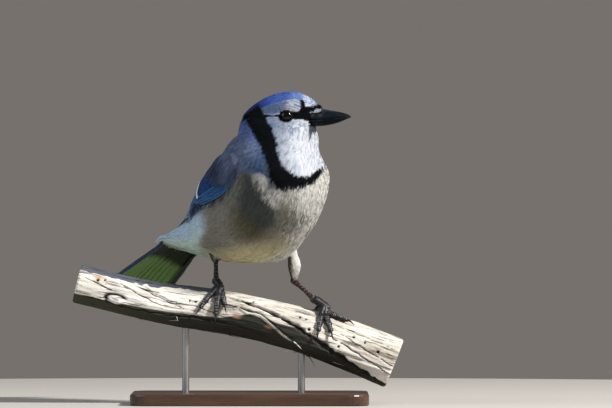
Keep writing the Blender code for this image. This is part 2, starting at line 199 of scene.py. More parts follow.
class Value:
    """A number's socket in a node tree, on which Python's operators add Math nodes."""

    def __init__(self, graph: "Graph", socket: Socket) -> None:
        """Keeps the socket and the graph it is in."""
        self.graph, self.socket = graph, socket

    def math(self, operation: str, *others: object) -> "Value":
        """This value and others through one Math node."""
        return self.graph.math(operation, self, *others)

    def __add__(self, other: object) -> "Value":
        """self + other."""
        return self.math("ADD", other)

    __radd__ = __add__

    def __mul__(self, other: object) -> "Value":
        """self * other."""
        return self.math("MULTIPLY", other)

    __rmul__ = __mul__

    def __sub__(self, other: object) -> "Value":
        """self - other."""
        return self.math("SUBTRACT", other)

    def __rsub__(self, other: object) -> "Value":
        """other - self."""
        return self.graph.math("SUBTRACT", other, self)

    def __abs__(self) -> "Value":
        """The value without its sign."""
        return self.math("ABSOLUTE")

    def sine(self) -> "Value":
        """The sine of the value in radians."""
        return self.math("SINE")

    def step(self, low: float, high: float) -> "Value":
        """A soft step from 0 at low to 1 at high.

        Args:
            low: Where it starts.
            high: Where it ends.

        Returns:
            The step's value.
        """
        settings = {"interpolation_type": "SMOOTHSTEP"}
        inputs = {"Value": self, "From Min": low, "From Max": high}
        return self.graph.value("ShaderNodeMapRange", settings, inputs)


class Graph:
    """One material's nodes, ending in a Principled shader."""

    def __init__(self, name: str) -> None:
        """Makes the material with an empty tree.

        Args:
            name: The material's name.
        """
        self.material = bpy.data.materials.new(name)
        self.material.use_nodes = True
        self.tree = self.material.node_tree
        self.tree.nodes.clear()

    def add(self, kind: str, settings: dict[str, object], inputs: dict[object, object]) -> bpy.types.Node:
        """Adds a node.

        Args:
            kind: The node's type.
            settings: Its properties, set before the sockets; "stops" sets a ramp's stops.
            inputs: Values or links by the sockets' names or numbers.

        Returns:
            The node.
        """
        node = self.tree.nodes.new(kind)
        for key, setting in settings.items():
            if key == "stops":
                stops = node.color_ramp.elements
                while len(stops) < len(setting):
                    stops.new(1.0)
                for stop, (at, colour) in zip(stops, setting):
                    stop.position, stop.color = at, (*colour, 1.0)
            else:
                setattr(node, key, setting)
        for key, given in inputs.items():
            shown = (s for s in node.inputs if s.enabled and s.name == key)
            socket = node.inputs[key] if isinstance(key, int) else next(shown)
            if isinstance(given, Value):
                self.tree.links.new(given.socket, socket)
            elif isinstance(given, Socket):
                self.tree.links.new(given, socket)
            elif isinstance(given, tuple) and len(given) == 3 and socket.type == "RGBA":
                socket.default_value = (*given, 1.0)
            else:
                socket.default_value = given
        return node

    def value(self, kind: str, settings: dict[str, object], inputs: dict[object, object]) -> Value:
        """The first output of a new node, as a value."""
        return Value(self, self.add(kind, settings, inputs).outputs[0])

    def math(self, operation: str, *operands: object) -> Value:
        """A Math node on up to three operands."""
        return self.value("ShaderNodeMath", {"operation": operation}, dict(enumerate(operands)))

    def attribute(self, name: str) -> tuple[Value, Value, Value, Value, Socket]:
        """The four numbers of a vertex layer, and its colour.

        Args:
            name: The layer's name.

        Returns:
            The numbers' sockets and the colour's.
        """
        node = self.add("ShaderNodeAttribute", {"attribute_name": name}, {})
        parts = self.add("ShaderNodeSeparateColor", {}, {0: node.outputs["Color"]})
        red, green, blue = (Value(self, parts.outputs[i]) for i in range(3))
        return red, green, blue, Value(self, node.outputs["Alpha"]), node.outputs["Color"]

    def spots(self, scale: Spot = (1.0, 1.0, 1.0)) -> Socket:
        """The place on the object, in metres, stretched by scale."""
        place = self.add("ShaderNodeTexCoord", {}, {}).outputs["Object"]
        return self.stretched(place, scale)

    def stretched(self, vector: object, scale: Spot) -> Socket:
        """A vector times a scale for each axis."""
        return self.add("ShaderNodeVectorMath", {"operation": "MULTIPLY"}, {0: vector, 1: scale}).outputs[0]

    def joined(self, x: object, y: object, z: object = 0.0) -> Socket:
        """A vector of three values."""
        return self.add("ShaderNodeCombineXYZ", {}, {0: x, 1: y, 2: z}).outputs[0]

    def noise(self, vector: object, scale: float, detail: float = 3.0, rough: float = 0.55) -> Value:
        """Cloudy values from 0 to 1."""
        inputs = {"Vector": vector, "Scale": scale, "Detail": detail, "Roughness": rough}
        return self.value("ShaderNodeTexNoise", {}, inputs)

    def cells(self, vector: object, scale: float) -> Value:
        """The distance to the nearest cell's middle."""
        return self.value("ShaderNodeTexVoronoi", {}, {"Vector": vector, "Scale": scale})

    def blend(self, a: object, b: object, share: object, how: str = "MIX") -> Socket:
        """Colour a mixed with colour b.

        Args:
            a: The first colour.
            b: The second.
            share: How much of b.
            how: The way of mixing.

        Returns:
            The colour's socket.
        """
        settings = {"data_type": "RGBA", "blend_type": how}
        node = self.add("ShaderNodeMix", settings, {"Factor": share, "A": a, "B": b})
        return next(s for s in node.outputs if s.enabled)

    def scaled(self, colour: object, amount: object) -> Socket:
        """A colour made lighter or darker."""
        settings = {"operation": "SCALE"}
        return self.add("ShaderNodeVectorMath", settings, {"Vector": colour, "Scale": amount}).outputs[0]

    def ramp(self, share: Value, *stops: tuple[float, Colour]) -> Socket:
        """The colour of a ramp at a value."""
        return self.add("ShaderNodeValToRGB", {"stops": stops}, {0: share}).outputs[0]

    def finish(self, colour: object, rough: object, height: Value | None = None, depth: float = 0.0002,
               strength: float = 1.0, **constants: object) -> Material:
        """Ends the graph in its shader.

        Args:
            colour: The base colour.
            rough: The roughness.
            height: What a Bump node raises the surface by, if anything.
            depth: The bump's distance in metres.
            strength: The bump's strength.
            constants: Other sockets' fixed numbers, with underscores for spaces.

        Returns:
            The material.
        """
        inputs = {"Base Color": colour, "Roughness": rough}
        inputs |= {key.replace("_", " "): number for key, number in constants.items()}
        if height is not None:
            raised = {"Strength": strength, "Distance": depth, "Height": height}
            inputs["Normal"] = self.add("ShaderNodeBump", {}, raised).outputs[0]
        shader = self.add("ShaderNodeBsdfPrincipled", {}, inputs)
        self.add("ShaderNodeOutputMaterial", {}, {"Surface": shader.outputs[0]})
        return self.material


# Finishes


@dataclass(frozen=True)
class PlumageFinish:
    """Soft body feathers, which take their colour from the plumage layer."""

    name: str = "plumage"
    root_shade: float = 0.62
    rough: float = 0.78
    sheen: float = 0.01

    def build(self) -> Material:
        """Darker roots, and each lock and barb a little different.

        Returns:
            The material.
        """
        graph = Graph(self.name)
        along, barb, lock, _, _ = graph.attribute("strand")
        *_, plumage = graph.attribute("plumage")
        fine = graph.noise(graph.spots(), 900.0, 2.0)
        shade = self.root_shade + (1 - self.root_shade) * along.step(0.0, 0.55)
        shade = shade * (0.82 + barb * 0.20 + lock * 0.14) * (0.92 + fine * 0.16)
        cool = graph.blend(graph.scaled(plumage, shade), (0.75, 0.85, 1.0), barb * 0.25, "MULTIPLY")
        soft = {"Sheen_Weight": self.sheen, "Sheen_Roughness": 0.5, "Specular_IOR_Level": 0.08}
        return graph.finish(cool, self.rough + fine * 0.1, **soft)


@dataclass(frozen=True)
class SkinFinish:
    """The down under the feathers, with the same markings."""

    name: str = "skin_down"
    rough: float = 0.9

    def build(self) -> Material:
        """The plumage layer, with soft clumps of down.

        Returns:
            The material.
        """
        graph = Graph(self.name)
        *_, plumage = graph.attribute("plumage")
        clumps = graph.noise(graph.spots(), 700.0, 4.0, 0.65)
        down = graph.cells(graph.spots(), 900.0)
        colour = graph.scaled(plumage, 0.38 + clumps * 0.34)
        height = clumps - down * 0.5
        return graph.finish(colour, self.rough, height, depth=0.0006, strength=0.8, Specular_IOR_Level=0.05)


@dataclass(frozen=True)
class VaneFinish:
    """Flight, tail and covert feathers: barbs, a shaft, dark bars and pale tips; below the tail a
    yellow-green painted reflected light with painted shadow at the roots.
    """

    name: str = "vane"
    blue: Colour = linear(26, 82, 146)
    deep: Colour = linear(9, 24, 50)
    web: Colour = linear(34, 40, 52)
    bar: Colour = linear(12, 15, 22)
    tip: Colour = linear(226, 232, 236)
    # olive_reflection: painted reflected light on the tail's underside
    olive_reflection: Colour = linear(104, 140, 76)
    light: Colour = linear(88, 150, 200)

    def build(self) -> Material:
        """Paints from the vane layer (along, across, random, bar turns) and the paint layer.

        Returns:
            The material.
        """
        graph = Graph(self.name)
        along, across, lot, turns, _ = graph.attribute("vane")
        blue, tip, bars, under, _ = graph.attribute("paint")
        side = abs(across - 0.5) * 2
        slant = along * 0.82 - side * 0.10
        spread = graph.joined(across * 1.4 + lot * 7.0, (along - side * 0.30) * 60.0, lot * 9.0)
        barbs = graph.noise(spread, 3.0, 3.0, 0.6)
        cloud = graph.noise(graph.joined(across * 2.0, along * 5.0, lot * 11.0), 1.6, 2.0)
        wave = ((slant + cloud * 0.05) * turns * (2 * math.pi) + lot * 3.0).sine()
        barred = wave.step(0.30, 0.62) * bars * side.step(0.06, 0.22)
        colour = graph.blend(self.web, graph.blend(self.deep, self.blue, cloud.step(0.3, 0.7)), blue)
        # Underside: painted yellow-green reflected light, darkened at the root by painted shadow
        below = graph.scaled(self.olive_reflection, 0.08 + 0.92 * (along + cloud * 0.08).step(0.28, 0.37))
        colour = graph.blend(colour, below, under)
        between = (1 - wave.step(0.0, 0.45)) * bars * side.step(0.06, 0.22) * turns.step(9.5, 11.0)
        colour = graph.blend(colour, self.light, between * 0.75)
        colour = graph.blend(colour, self.bar, barred)
        end = (along - side * side * 0.05 + cloud * 0.03).step(0.84, 0.88)
        colour = graph.blend(colour, self.tip, end * tip)
        fringe = side.step(0.62, 0.80) * blue * (1 - end * tip)
        colour = graph.blend(colour, self.light, fringe * (0.30 + cloud * 0.5))
        rim = side.step(0.90, 1.0) * 0.75 + (1 - side.step(0.015, 0.05)) * 0.7
        colour = graph.blend(colour, self.bar, rim * (1 - end * tip))
        colour = graph.scaled(colour, 0.66 + barbs * 0.62)
        shaft = 1 - side.step(0.0, 0.10)
        height = barbs * 0.6 + shaft * 1.4
        rough = 0.48 + barbs * 0.3
        return graph.finish(colour, rough, height, depth=0.00022, strength=0.7, Specular_IOR_Level=0.14)


@dataclass(frozen=True)
class HornFinish:
    """Horn of the beak and claws, with growth lines and scuffs, and on the beak a painted highlight."""

    name: str
    dark: Colour
    light: Colour
    rough: float
    lines: float
    gloss: float = 0.14

    def build(self) -> Material:
        """Paints from the horn layer (along, around, light share); on the beak the light share is a painted
        highlight.

        Returns:
            The material.
        """
        graph = Graph(self.name)
        along, around, light, _, _ = graph.attribute("horn")
        streak = graph.noise(graph.joined(along * 3.0, around * 14.0), 2.0, 4.0, 0.6)
        growth = graph.noise(graph.joined(along * self.lines, around * 1.5), 1.0, 2.0)
        scuff = graph.noise(graph.spots(), 1500.0, 4.0, 0.7).step(0.58, 0.72)
        share = (light * (0.3 + streak * 1.3) + scuff * 0.12 + (streak - 0.5) * 0.8).step(0.1, 1.1)
        colour = graph.blend(self.dark, self.light, share)
        rough = self.rough + streak * 0.18 + scuff * 0.2
        height = growth + streak * 0.5 - scuff * 0.4
        gloss = {"Specular_IOR_Level": self.gloss}
        return graph.finish(colour, rough, height, depth=0.00012, strength=0.5, **gloss)


@dataclass(frozen=True)
class EyeFinish:
    """A dark brown iris with a black pupil under a wet, clear coat."""

    name: str = "eye"
    pupil: Colour = linear(3, 3, 5)
    inner: Colour = linear(12, 10, 12)
    outer: Colour = linear(36, 27, 26)
    rim: Colour = linear(6, 6, 8)

    def build(self) -> Material:
        """Paints from the iris layer (distance from the middle, turn).

        Returns:
            The material.
        """
        graph = Graph(self.name)
        reach, turn, _, _, _ = graph.attribute("iris")
        rays = graph.noise(graph.joined(reach * 2.0, turn * 30.0), 2.0, 3.0)
        pupil = ((0.0, self.pupil), (0.26, self.pupil))
        stops = (*pupil, (0.29, self.inner), (0.42, self.outer), (0.52, self.inner), (0.60, self.rim))
        colour = graph.scaled(graph.ramp(reach, *stops), 0.55 + rays * 0.9)
        coat = {"Coat_Weight": 0.7, "Coat_Roughness": 0.02, "Coat_IOR": 1.33, "IOR": 1.25}
        return graph.finish(colour, 0.08 + reach * 0.02, rays, depth=0.00002, strength=0.2, **coat)


@dataclass(frozen=True)
class ScaleFinish:
    """Scaled skin of the tarsi and toes, and the bare skin of the eyelids."""

    name: str
    dark: Colour
    warm: Colour
    # edge: the colour of the plates' edges, on the legs a pale painted highlight
    edge: Colour
    count: float = 1500.0
    gloss: float = 0.35

    def build(self) -> Material:
        """Paints from the scute layer (edge, warm share, underside, random); on the legs the pale edge
        colour is a painted highlight.

        Returns:
            The material.
        """
        graph = Graph(self.name)
        edge, warm, under, lot, _ = graph.attribute("scute")
        grain = graph.cells(graph.spots(), self.count)
        dust = graph.noise(graph.spots(), 420.0, 4.0, 0.65)
        colour = graph.blend(self.dark, self.warm, warm * (0.45 + dust * 0.9))
        colour = graph.scaled(colour, 0.72 + lot * 0.4 + dust * 0.3)
        colour = graph.blend(colour, self.edge, edge * dust.step(0.38, 0.6) * 0.55)
        rough = 0.30 + dust * 0.30 + under * 0.15
        height = dust * 0.6 - grain * (0.3 + under * 1.2)
        gloss = {"Specular_IOR_Level": self.gloss}
        return graph.finish(colour, rough, height, depth=0.00025, strength=0.7, **gloss)


@dataclass(frozen=True)
class DriftwoodFinish:
    """A branch without bark: bleached grey on top, dark and mossy below, the split between them partly
    painted light and painted shade, with black cracks as painted shade and the bird's painted shadow along
    its top.
    """

    name: str = "weathered_wood"
    # silver_and_lit: the bleached wood of the top, also standing for painted light
    silver_and_lit: Colour = linear(236, 232, 225)
    grey: Colour = linear(158, 150, 134)
    # dark and moss_and_shade: the underside's dark weathering and moss, also standing for painted shade
    dark: Colour = linear(42, 44, 38)
    moss_and_shade: Colour = linear(52, 53, 32)
    # crack: near black, painted shade in cracks, holes and the knot's recess
    crack: Colour = linear(14, 14, 12)
    # bird_shadow: the blue-grey painted shadow of the bird on the branch's top
    bird_shadow: Colour = linear(24, 44, 70)
    rust: Colour = linear(170, 132, 100)
    sapwood: Colour = linear(164, 146, 116)
    ring: Colour = linear(120, 100, 76)

    def build(self) -> Material:
        """Paints from the wood layer (top, which is bleached wood and painted light, crack, which is painted
        shade, rust, cut end) and the grain layer (along, around, rings, the bird's painted shadow).

        Returns:
            The material.
        """
        graph = Graph(self.name)
        top, crack, rust, cut, _ = graph.attribute("wood")
        along, around, rings, bird_shadow, _ = graph.attribute("grain")
        fibre = graph.noise(graph.joined(along * 26.0, around * 150.0), 1.0, 5.0, 0.62)
        broad = graph.noise(graph.joined(along * 9.0, around * 16.0), 1.0, 3.0)
        pores = graph.noise(graph.joined(along * 60.0, around * 60.0, 4.0), 1.0, 3.0, 0.7)
        pale = graph.blend(self.grey, self.silver_and_lit, (fibre * 0.9 + broad * 0.7).step(0.45, 1.0))
        shade = graph.blend(self.dark, self.moss_and_shade, broad.step(0.45, 0.65))
        shade = graph.scaled(shade, 0.55 + fibre * 1.0)
        # lit: painted light on the bleached top; below it the dark colours are painted shade
        lit = (top + (fibre - 0.5) * 0.5 + (broad - 0.5) * 0.45).step(0.28, 0.72)
        colour = graph.blend(shade, pale, lit)
        # Painted shadow of the bird along the branch's top
        colour = graph.blend(colour, self.bird_shadow, (bird_shadow + (fibre - 0.5) * 0.5 * bird_shadow).step(0.25, 0.6) * 0.9)
        colour = graph.blend(colour, self.rust, rust * pores.step(0.42, 0.6))
        strand = graph.noise(graph.joined(along * 48.0, around * 560.0 + broad * 2.0), 1.0, 3.0, 0.6)
        hair = (1 - fibre.step(0.30, 0.40)) * 0.5 + (1 - strand.step(0.36, 0.46)) * lit * 0.7
        # Painted shade in cracks, holes and the knot's recess, and dark hair lines of the grain
        colour = graph.blend(colour, self.crack, (crack + hair * (1 - cut)).math("MINIMUM", 1.0))
        ends = (rings * 95.0 + broad * 3.0).sine() * 0.5 + 0.5
        wood = graph.blend(self.sapwood, self.ring, ends * 0.8 + pores * 0.2)
        colour = graph.blend(colour, wood, cut)
        height = fibre * 1.1 + pores * 0.35 - hair * 0.8
        return graph.finish(colour, 0.82 + pores * 0.12, height, depth=0.0005, strength=0.8)


@dataclass(frozen=True)
class StainedWoodFinish:
    """The base: dark stained hardwood under a satin lacquer."""

    name: str = "stained_wood"
    dark: Colour = linear(46, 31, 24)
    light: Colour = linear(88, 60, 44)

    def build(self) -> Material:
        """Long grain with pores and a worn satin coat.

        Returns:
            The material.
        """
        graph = Graph(self.name)
        spots = graph.spots((6.0, 60.0, 40.0))
        bend = graph.noise(graph.spots((2.0, 9.0, 9.0)), 3.0, 2.0)
        rings = graph.noise(spots, 2.4, 4.0, 0.6)
        pores = graph.noise(graph.spots((45.0, 900.0, 900.0)), 1.0, 3.0, 0.7)
        share = (rings * 0.8 + bend * 0.4).step(0.35, 0.85)
        colour = graph.blend(self.dark, self.light, share)
        colour = graph.scaled(colour, 0.72 + pores * 0.56)
        worn = graph.noise(graph.spots(), 60.0, 4.0)
        rough = 0.24 + worn * 0.24
        height = pores * 0.6 + rings * 0.4
        return graph.finish(colour, rough, height, depth=0.00015, strength=0.35)


@dataclass(frozen=True)
class SteelFinish:
    """The rods: brushed steel with fine lines round them."""

    name: str = "brushed_steel"
    colour: Colour = linear(176, 177, 180)

    def build(self) -> Material:
        """Turned brush lines, with handling marks.

        Returns:
            The material.
        """
        graph = Graph(self.name)
        lines = graph.noise(graph.spots((120.0, 120.0, 5200.0)), 1.0, 3.0, 0.7)
        marks = graph.noise(graph.spots(), 130.0, 3.0)
        colour = graph.scaled(self.colour, 0.8 + lines * 0.3)
        rough = 0.26 + lines * 0.16 + marks * 0.10
        return graph.finish(colour, rough, lines, depth=0.00004, strength=0.4, Metallic=1.0)


@dataclass(frozen=True)
class FloorFinish:
    """A pale, matt floor."""

    name: str = "pale_floor"
    colour: Colour = linear(196, 192, 187)

    def build(self) -> Material:
        """An even tone with the faintest mottling.

        Returns:
            The material.
        """
        graph = Graph(self.name)
        cloud = graph.noise(graph.spots(), 9.0, 3.0)
        fine = graph.noise(graph.spots(), 600.0, 2.0)
        colour = graph.scaled(self.colour, 0.97 + cloud * 0.06)
        return graph.finish(colour, 0.75 + fine * 0.1, fine, depth=0.0001, strength=0.2)


# Mesh making


class Shell:
    """Gathers the faces of one mesh with its map and its vertex layers."""

    def __init__(self, name: str) -> None:
        """Starts an empty mesh.

        Args:
            name: The piece's name.
        """
        self.name = name
        self.points: list[Array] = []
        self.faces: list[Array] = []
        self.maps: list[Array] = []
        self.layers: dict[str, list[Array]] = {}
        self.count = 0

    def add(self, points: Array, faces: Array, uv: Array, **layers: Array) -> None:
        """Adds faces of one kind.

        Args:
            points: The corners, (n, 3).
            faces: Their numbers in each face, (m, k).
            uv: The place of each face's corner on the map, (m, k, 2).
            layers: Four numbers for each point, by the layer's name.
        """
        self.points.append(points.reshape(-1, 3))
        self.faces.append(faces + self.count)
        self.maps.append(uv)
        for name, values in layers.items():
            numbers = np.broadcast_to(values, (*points.shape[:-1], 4)).reshape(-1, 4)
            self.layers.setdefault(name, []).append(numbers)
        self.count += points.size // 3

    def grid(self, points: Array, closed: bool = False, flip: bool = False,
             window: Window = (0.01, 0.01, 0.99, 0.99), **layers: Array) -> None:
        """Adds a sheet of rows and columns of points.

        Args:
            points: The corners, (rows, columns, 3).
            closed: Whether the last column meets the first.
            flip: Whether the faces turn the other way.
            window: The sheet's part of the map: low u, low v, high u, high v.
            layers: Four numbers for each point, by the layer's name.
        """
        rows, columns = points.shape[:2]
        faces, i, j = grid_faces(rows, columns, closed)
        u = np.stack([j, j + 1, j + 1, j], -1) / (columns if closed else columns - 1)
        v = np.stack([i, i, i + 1, i + 1], -1) / (rows - 1)
        left, low, right, high = window
        uv = np.stack([left + u * (right - left), low + v * (high - low)], -1)
        if flip:
            faces, uv = faces[:, ::-1], uv[:, ::-1]
        self.add(points, faces, uv, **layers)

    def build(self) -> Piece:
        """Makes the object, smooth, at the origin.

        Returns:
            The piece.
        """
        mesh = bpy.data.meshes.new(self.name)
        sizes = np.concatenate([np.full(len(f), f.shape[1]) for f in self.faces])
        loops = np.concatenate([f.ravel() for f in self.faces])
        mesh.vertices.add(self.count)
        mesh.vertices.foreach_set("co", np.concatenate(self.points).astype(np.float32).ravel())
        mesh.loops.add(len(loops))
        mesh.loops.foreach_set("vertex_index", loops.astype(np.int32))
        mesh.polygons.add(len(sizes))
        mesh.polygons.foreach_set("loop_start", (np.cumsum(sizes) - sizes).astype(np.int32))
        uv = np.concatenate([m.reshape(-1, 2) for m in self.maps]).astype(np.float32)
        mesh.uv_layers.new(name="OFBake").uv.foreach_set("vector", uv.ravel())
        for name, values in self.layers.items():
            layer = mesh.attributes.new(name, "FLOAT_COLOR", "POINT")
            layer.data.foreach_set("color", np.concatenate(values).astype(np.float32).ravel())
        mesh.update(calc_edges=True)
        mesh.validate()
        mesh.shade_smooth()
        piece = bpy.data.objects.new(self.name, mesh)
        bpy.context.scene.collection.objects.link(piece)
        return piece


def place_piece(piece: Piece, material: Material, slot: str, *nodes: str) -> Piece:
    """Dresses a piece, hangs it on the root and hides the CAD nodes that it stands for.

    Args:
        piece: The new piece.
        material: Its material.
        slot: The record's material slot, which is not used.
        nodes: The CAD nodes that it stands for.

    Returns:
        The piece.
    """
    piece.data.materials.append(material)
    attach(piece, "root")
    if nodes:
        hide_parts(*nodes)
    log.info("%s: %d faces", piece.name, len(piece.data.polygons))
    return piece


def frames(path: Array, up: Array) -> tuple[Array, Array, Array]:
    """Directions along a path.

    Args:
        path: Points, (..., n, 3).
        up: A direction that shows each point's up side.

    Returns:
        Along, across and up, each of length 1.
    """
    along = unit(np.gradient(path, axis=-2))
    across = unit(np.cross(along, np.broadcast_to(up, path.shape)))
    return along, across, np.cross(across, along)


def sweep(path: Array, radii: Array, sides: int, up: Array) -> tuple[Array, Array]:
    """Rings round a path, closed to a point at both ends.

    Args:
        path: The middle line, (n, 3).
        radii: The radius at each point, (n,) or (n, sides).
        sides: Corners in a ring.
        up: A direction that isn't the path's.

    Returns:
        The rings' points, (n + 2, sides, 3), and the turn of each corner.
    """
    _, across, over = frames(path, up)
    turn = turns(sides)
    radii = np.broadcast_to(radii.reshape(len(path), -1), (len(path), sides))
    ring = across[:, None] * np.cos(turn)[None, :, None] + over[:, None] * np.sin(turn)[None, :, None]
    rings = path[:, None] + ring * radii[..., None]
    start, end = (np.repeat(path[i][None, None], sides, 1) for i in (0, -1))
    return np.concatenate([start, rings, end]), turn


def layer(*parts: object) -> Array:
    """Four numbers for each point from four arrays or numbers."""
    return np.stack(np.broadcast_arrays(*[np.asarray(p, dtype=float) for p in parts]), -1)


# The body's form


@dataclass(frozen=True)
class Pose:
    """How the trunk and the head stand, as in the CAD."""

    body_yaw: float = math.radians(-50.0)
    body_x: float = 3.3 * MM
    pivot: float = 25.0 * MM
    head_turn: float = math.radians(47.0)

    def turned(self, forward: Array, side: Array, yaw: Array) -> tuple[Array, Array]:
        """X and Y of places given from the head's pivot.

        Args:
            forward: How far ahead.
            side: How far to the left.
            yaw: The direction of ahead.

        Returns:
            X and Y.
        """
        x = self.body_x + self.pivot * math.cos(self.body_yaw)
        y = self.pivot * math.sin(self.body_yaw)
        return x + forward * np.cos(yaw) - side * np.sin(yaw), y + forward * np.sin(yaw) + side * np.cos(yaw)

    def head(self, forward: Array, side: Array, up: Array) -> Array:
        """Points given in the head's own directions, in metres.

        Args:
            forward: How far ahead of the pivot.
            side: How far to the left.
            up: The height.

        Returns:
            The points.
        """
        forward, side, up = np.broadcast_arrays(forward, side, up)
        x, y = self.turned(forward, side, self.body_yaw + self.head_turn)
        return np.stack([x, y, up], -1)

    def profile(self, points: Array) -> tuple[Array, Array, Array]:
        """Places in the head's own directions.

        Args:
            points: The places.

        Returns:
            How far ahead of the pivot, to its left and up each is, in mm.
        """
        x, y = self.turned(0.0, 0.0, 0.0)
        yaw = self.body_yaw + self.head_turn
        dx, dy = points[..., 0] - x, points[..., 1] - y
        side = -dx * math.sin(yaw) + dy * math.cos(yaw)
        forward = dx * math.cos(yaw) + dy * math.sin(yaw)
        return (forward - 0.05 * np.abs(side)) / MM, side / MM, points[..., 2] / MM


@dataclass(frozen=True)
class BodyForm:
    """The outline of the plumage: sections from the tail coverts (-1) over the head to the beak (22).

    A section goes through a point on the back and one on the belly, each ahead and up in mm, then has its
    half width in mm, its share of the head's turn and its roll in degrees. Angle 90 is the back, 180 the
    right side and 270 the belly.
    """

    pose: Pose = Pose()
    fullness: float = 0.03
    first: float = -1.0
    last: float = 22.4
    rows: Rows = (
        (-102, 105.5, -99, 100, 19.5, 0, 13), (-89, 113.5, -86, 108, 17.6, 0, 13),
        (-76, 121.5, -71.5, 105.5, 16.5, 0, 11), (-64, 130, -55, 102.5, 16.8, 0, 6),
        (-54, 140, -38, 100.5, 20, 0, 2), (-45, 150.5, -19, 99, 25.5, 0, 0),
        (-35, 160.5, 3, 99, 30.5, 0, 0), (-24, 170.5, 25, 104.5, 33.5, 0, 0),
        (-15.5, 180.5, 44, 118, 34.5, 0, 0), (-7.5, 187.8, 57, 136.5, 34, 0, 0),
        (-1, 191, 61.5, 153.5, 32, 0.1, 0), (-1, 194.5, 57.5, 166.5, 28.5, 0.4, 0),
        (-1.5, 197, 53.5, 177.5, 25.5, 0.8, 0), (0.2, 199.7, 52.5, 186, 22.2, 1, 0),
        (2.4, 203.0, 52.1, 190.6, 19.4, 1, 0), (6.0, 206.8, 51.8, 192.8, 17.3, 1, 0),
        (11.2, 210.8, 52, 193.6, 16.2, 1, 0), (17.9, 214.8, 52.3, 193.9, 15.2, 1, 0),
        (25.8, 217.4, 52.7, 194, 14.2, 1, 0), (34.5, 218.4, 53.1, 194.1, 12.9, 1, 0),
        (42, 217.1, 53.4, 194.1, 11.2, 1, 0), (47.6, 214.4, 53.6, 194.2, 9.2, 1, 0),
        (51.4, 211.2, 53.8, 194.2, 7.2, 1, 0), (53.6, 208.6, 54, 194.2, 5.8, 1, 0))
    swells: Rows = (
        (6.9, 201.4, 4.4, 3.8, -1.4), (3.4, 198.6, 3.2, 2.4, -1.0), (6.0, 207.4, 7.0, 2.0, 0.45),
        (3.0, 193.5, 8.0, 6.0, 0.6), (20.0, 203.0, 4.0, 4.0, -0.7), (30.0, 185.5, 6.0, 7.0, 1.3),
        (-24.2, 198.0, 2.7, 2.4, -3.4), (29.5, 198.6, 4.5, 4.4, -1.7))

    def section(self, t: Array, angle: Array, grow: Array) -> Array:
        """Points of the plain sections.

        Args:
            t: The section.
            angle: The angle round it, in radians.
            grow: How far outside they lie, in metres.

        Returns:
            The points.
        """
        row = Track(np.array(self.rows), self.first).at(t)
        back, belly, half = row[..., 0:2] * MM, row[..., 2:4] * MM, row[..., 4] * MM
        reach = back - belly
        depth = np.linalg.norm(reach, axis=-1) / 2
        full = 1 + self.fullness * np.sin(2 * angle) ** 2
        rise = (depth + grow) * full * np.sin(angle) / (2 * depth)
        middle = (back + belly) / 2 + reach * rise[..., None]
        side = (half + grow) * full * np.cos(angle)
        yaw = self.pose.body_yaw + row[..., 5] * self.pose.head_turn
        x, y = self.pose.turned(middle[..., 0] - self.pose.pivot, side, yaw)
        return np.stack([x, y, middle[..., 1] - side * np.sin(np.radians(row[..., 6]))], -1)

    def point(self, t: Array, angle: Array, grow: Array = 0.0) -> Array:
        """Points of the outline, with its brows, eye sockets, cheeks and nape.

        Args:
            t: The section.
            angle: The angle round it, in radians.
            grow: How far outside they lie, in metres.

        Returns:
            The points.
        """
        t, angle = np.broadcast_arrays(np.asarray(t, dtype=float), angle)
        forward, _, up = self.pose.profile(self.section(t, angle, 0.0))
        swell = np.zeros(t.shape)
        for at, level, wide, high, amount in self.swells:
            swell += amount * MM * np.exp(-(((forward - at) / wide) ** 2) - ((up - level) / high) ** 2)
        return self.section(t, angle, grow + swell)

    def normal(self, t: Array, angle: Array) -> Array:
        """Directions straight out of the outline.

        Args:
            t: The section.
            angle: The angle round it, in radians.

        Returns:
            The directions.
        """
        here = self.point(t, angle)
        ahead = self.point(t + 0.02, angle) - here
        round_it = self.point(t, angle + 0.01) - here
        return unit(np.cross(round_it, ahead))

    def depth(self, t: Array) -> Array:
        """How far under the outline the skin lies."""
        sections = (-1, 0, 1, 3, 6, 9, 11, 13, 15, 22)
        return np.interp(t, sections, (3.2, 3.2, 3.0, 3.4, 4.0, 3.2, 2.4, 1.6, 1.3, 1.0)) * MM


def from_belly(angle: Array) -> Array:
    """Degrees from the middle of the belly, above zero on the right side, of an angle round the body."""
    return (270 - np.degrees(angle) + 180) % 360 - 180


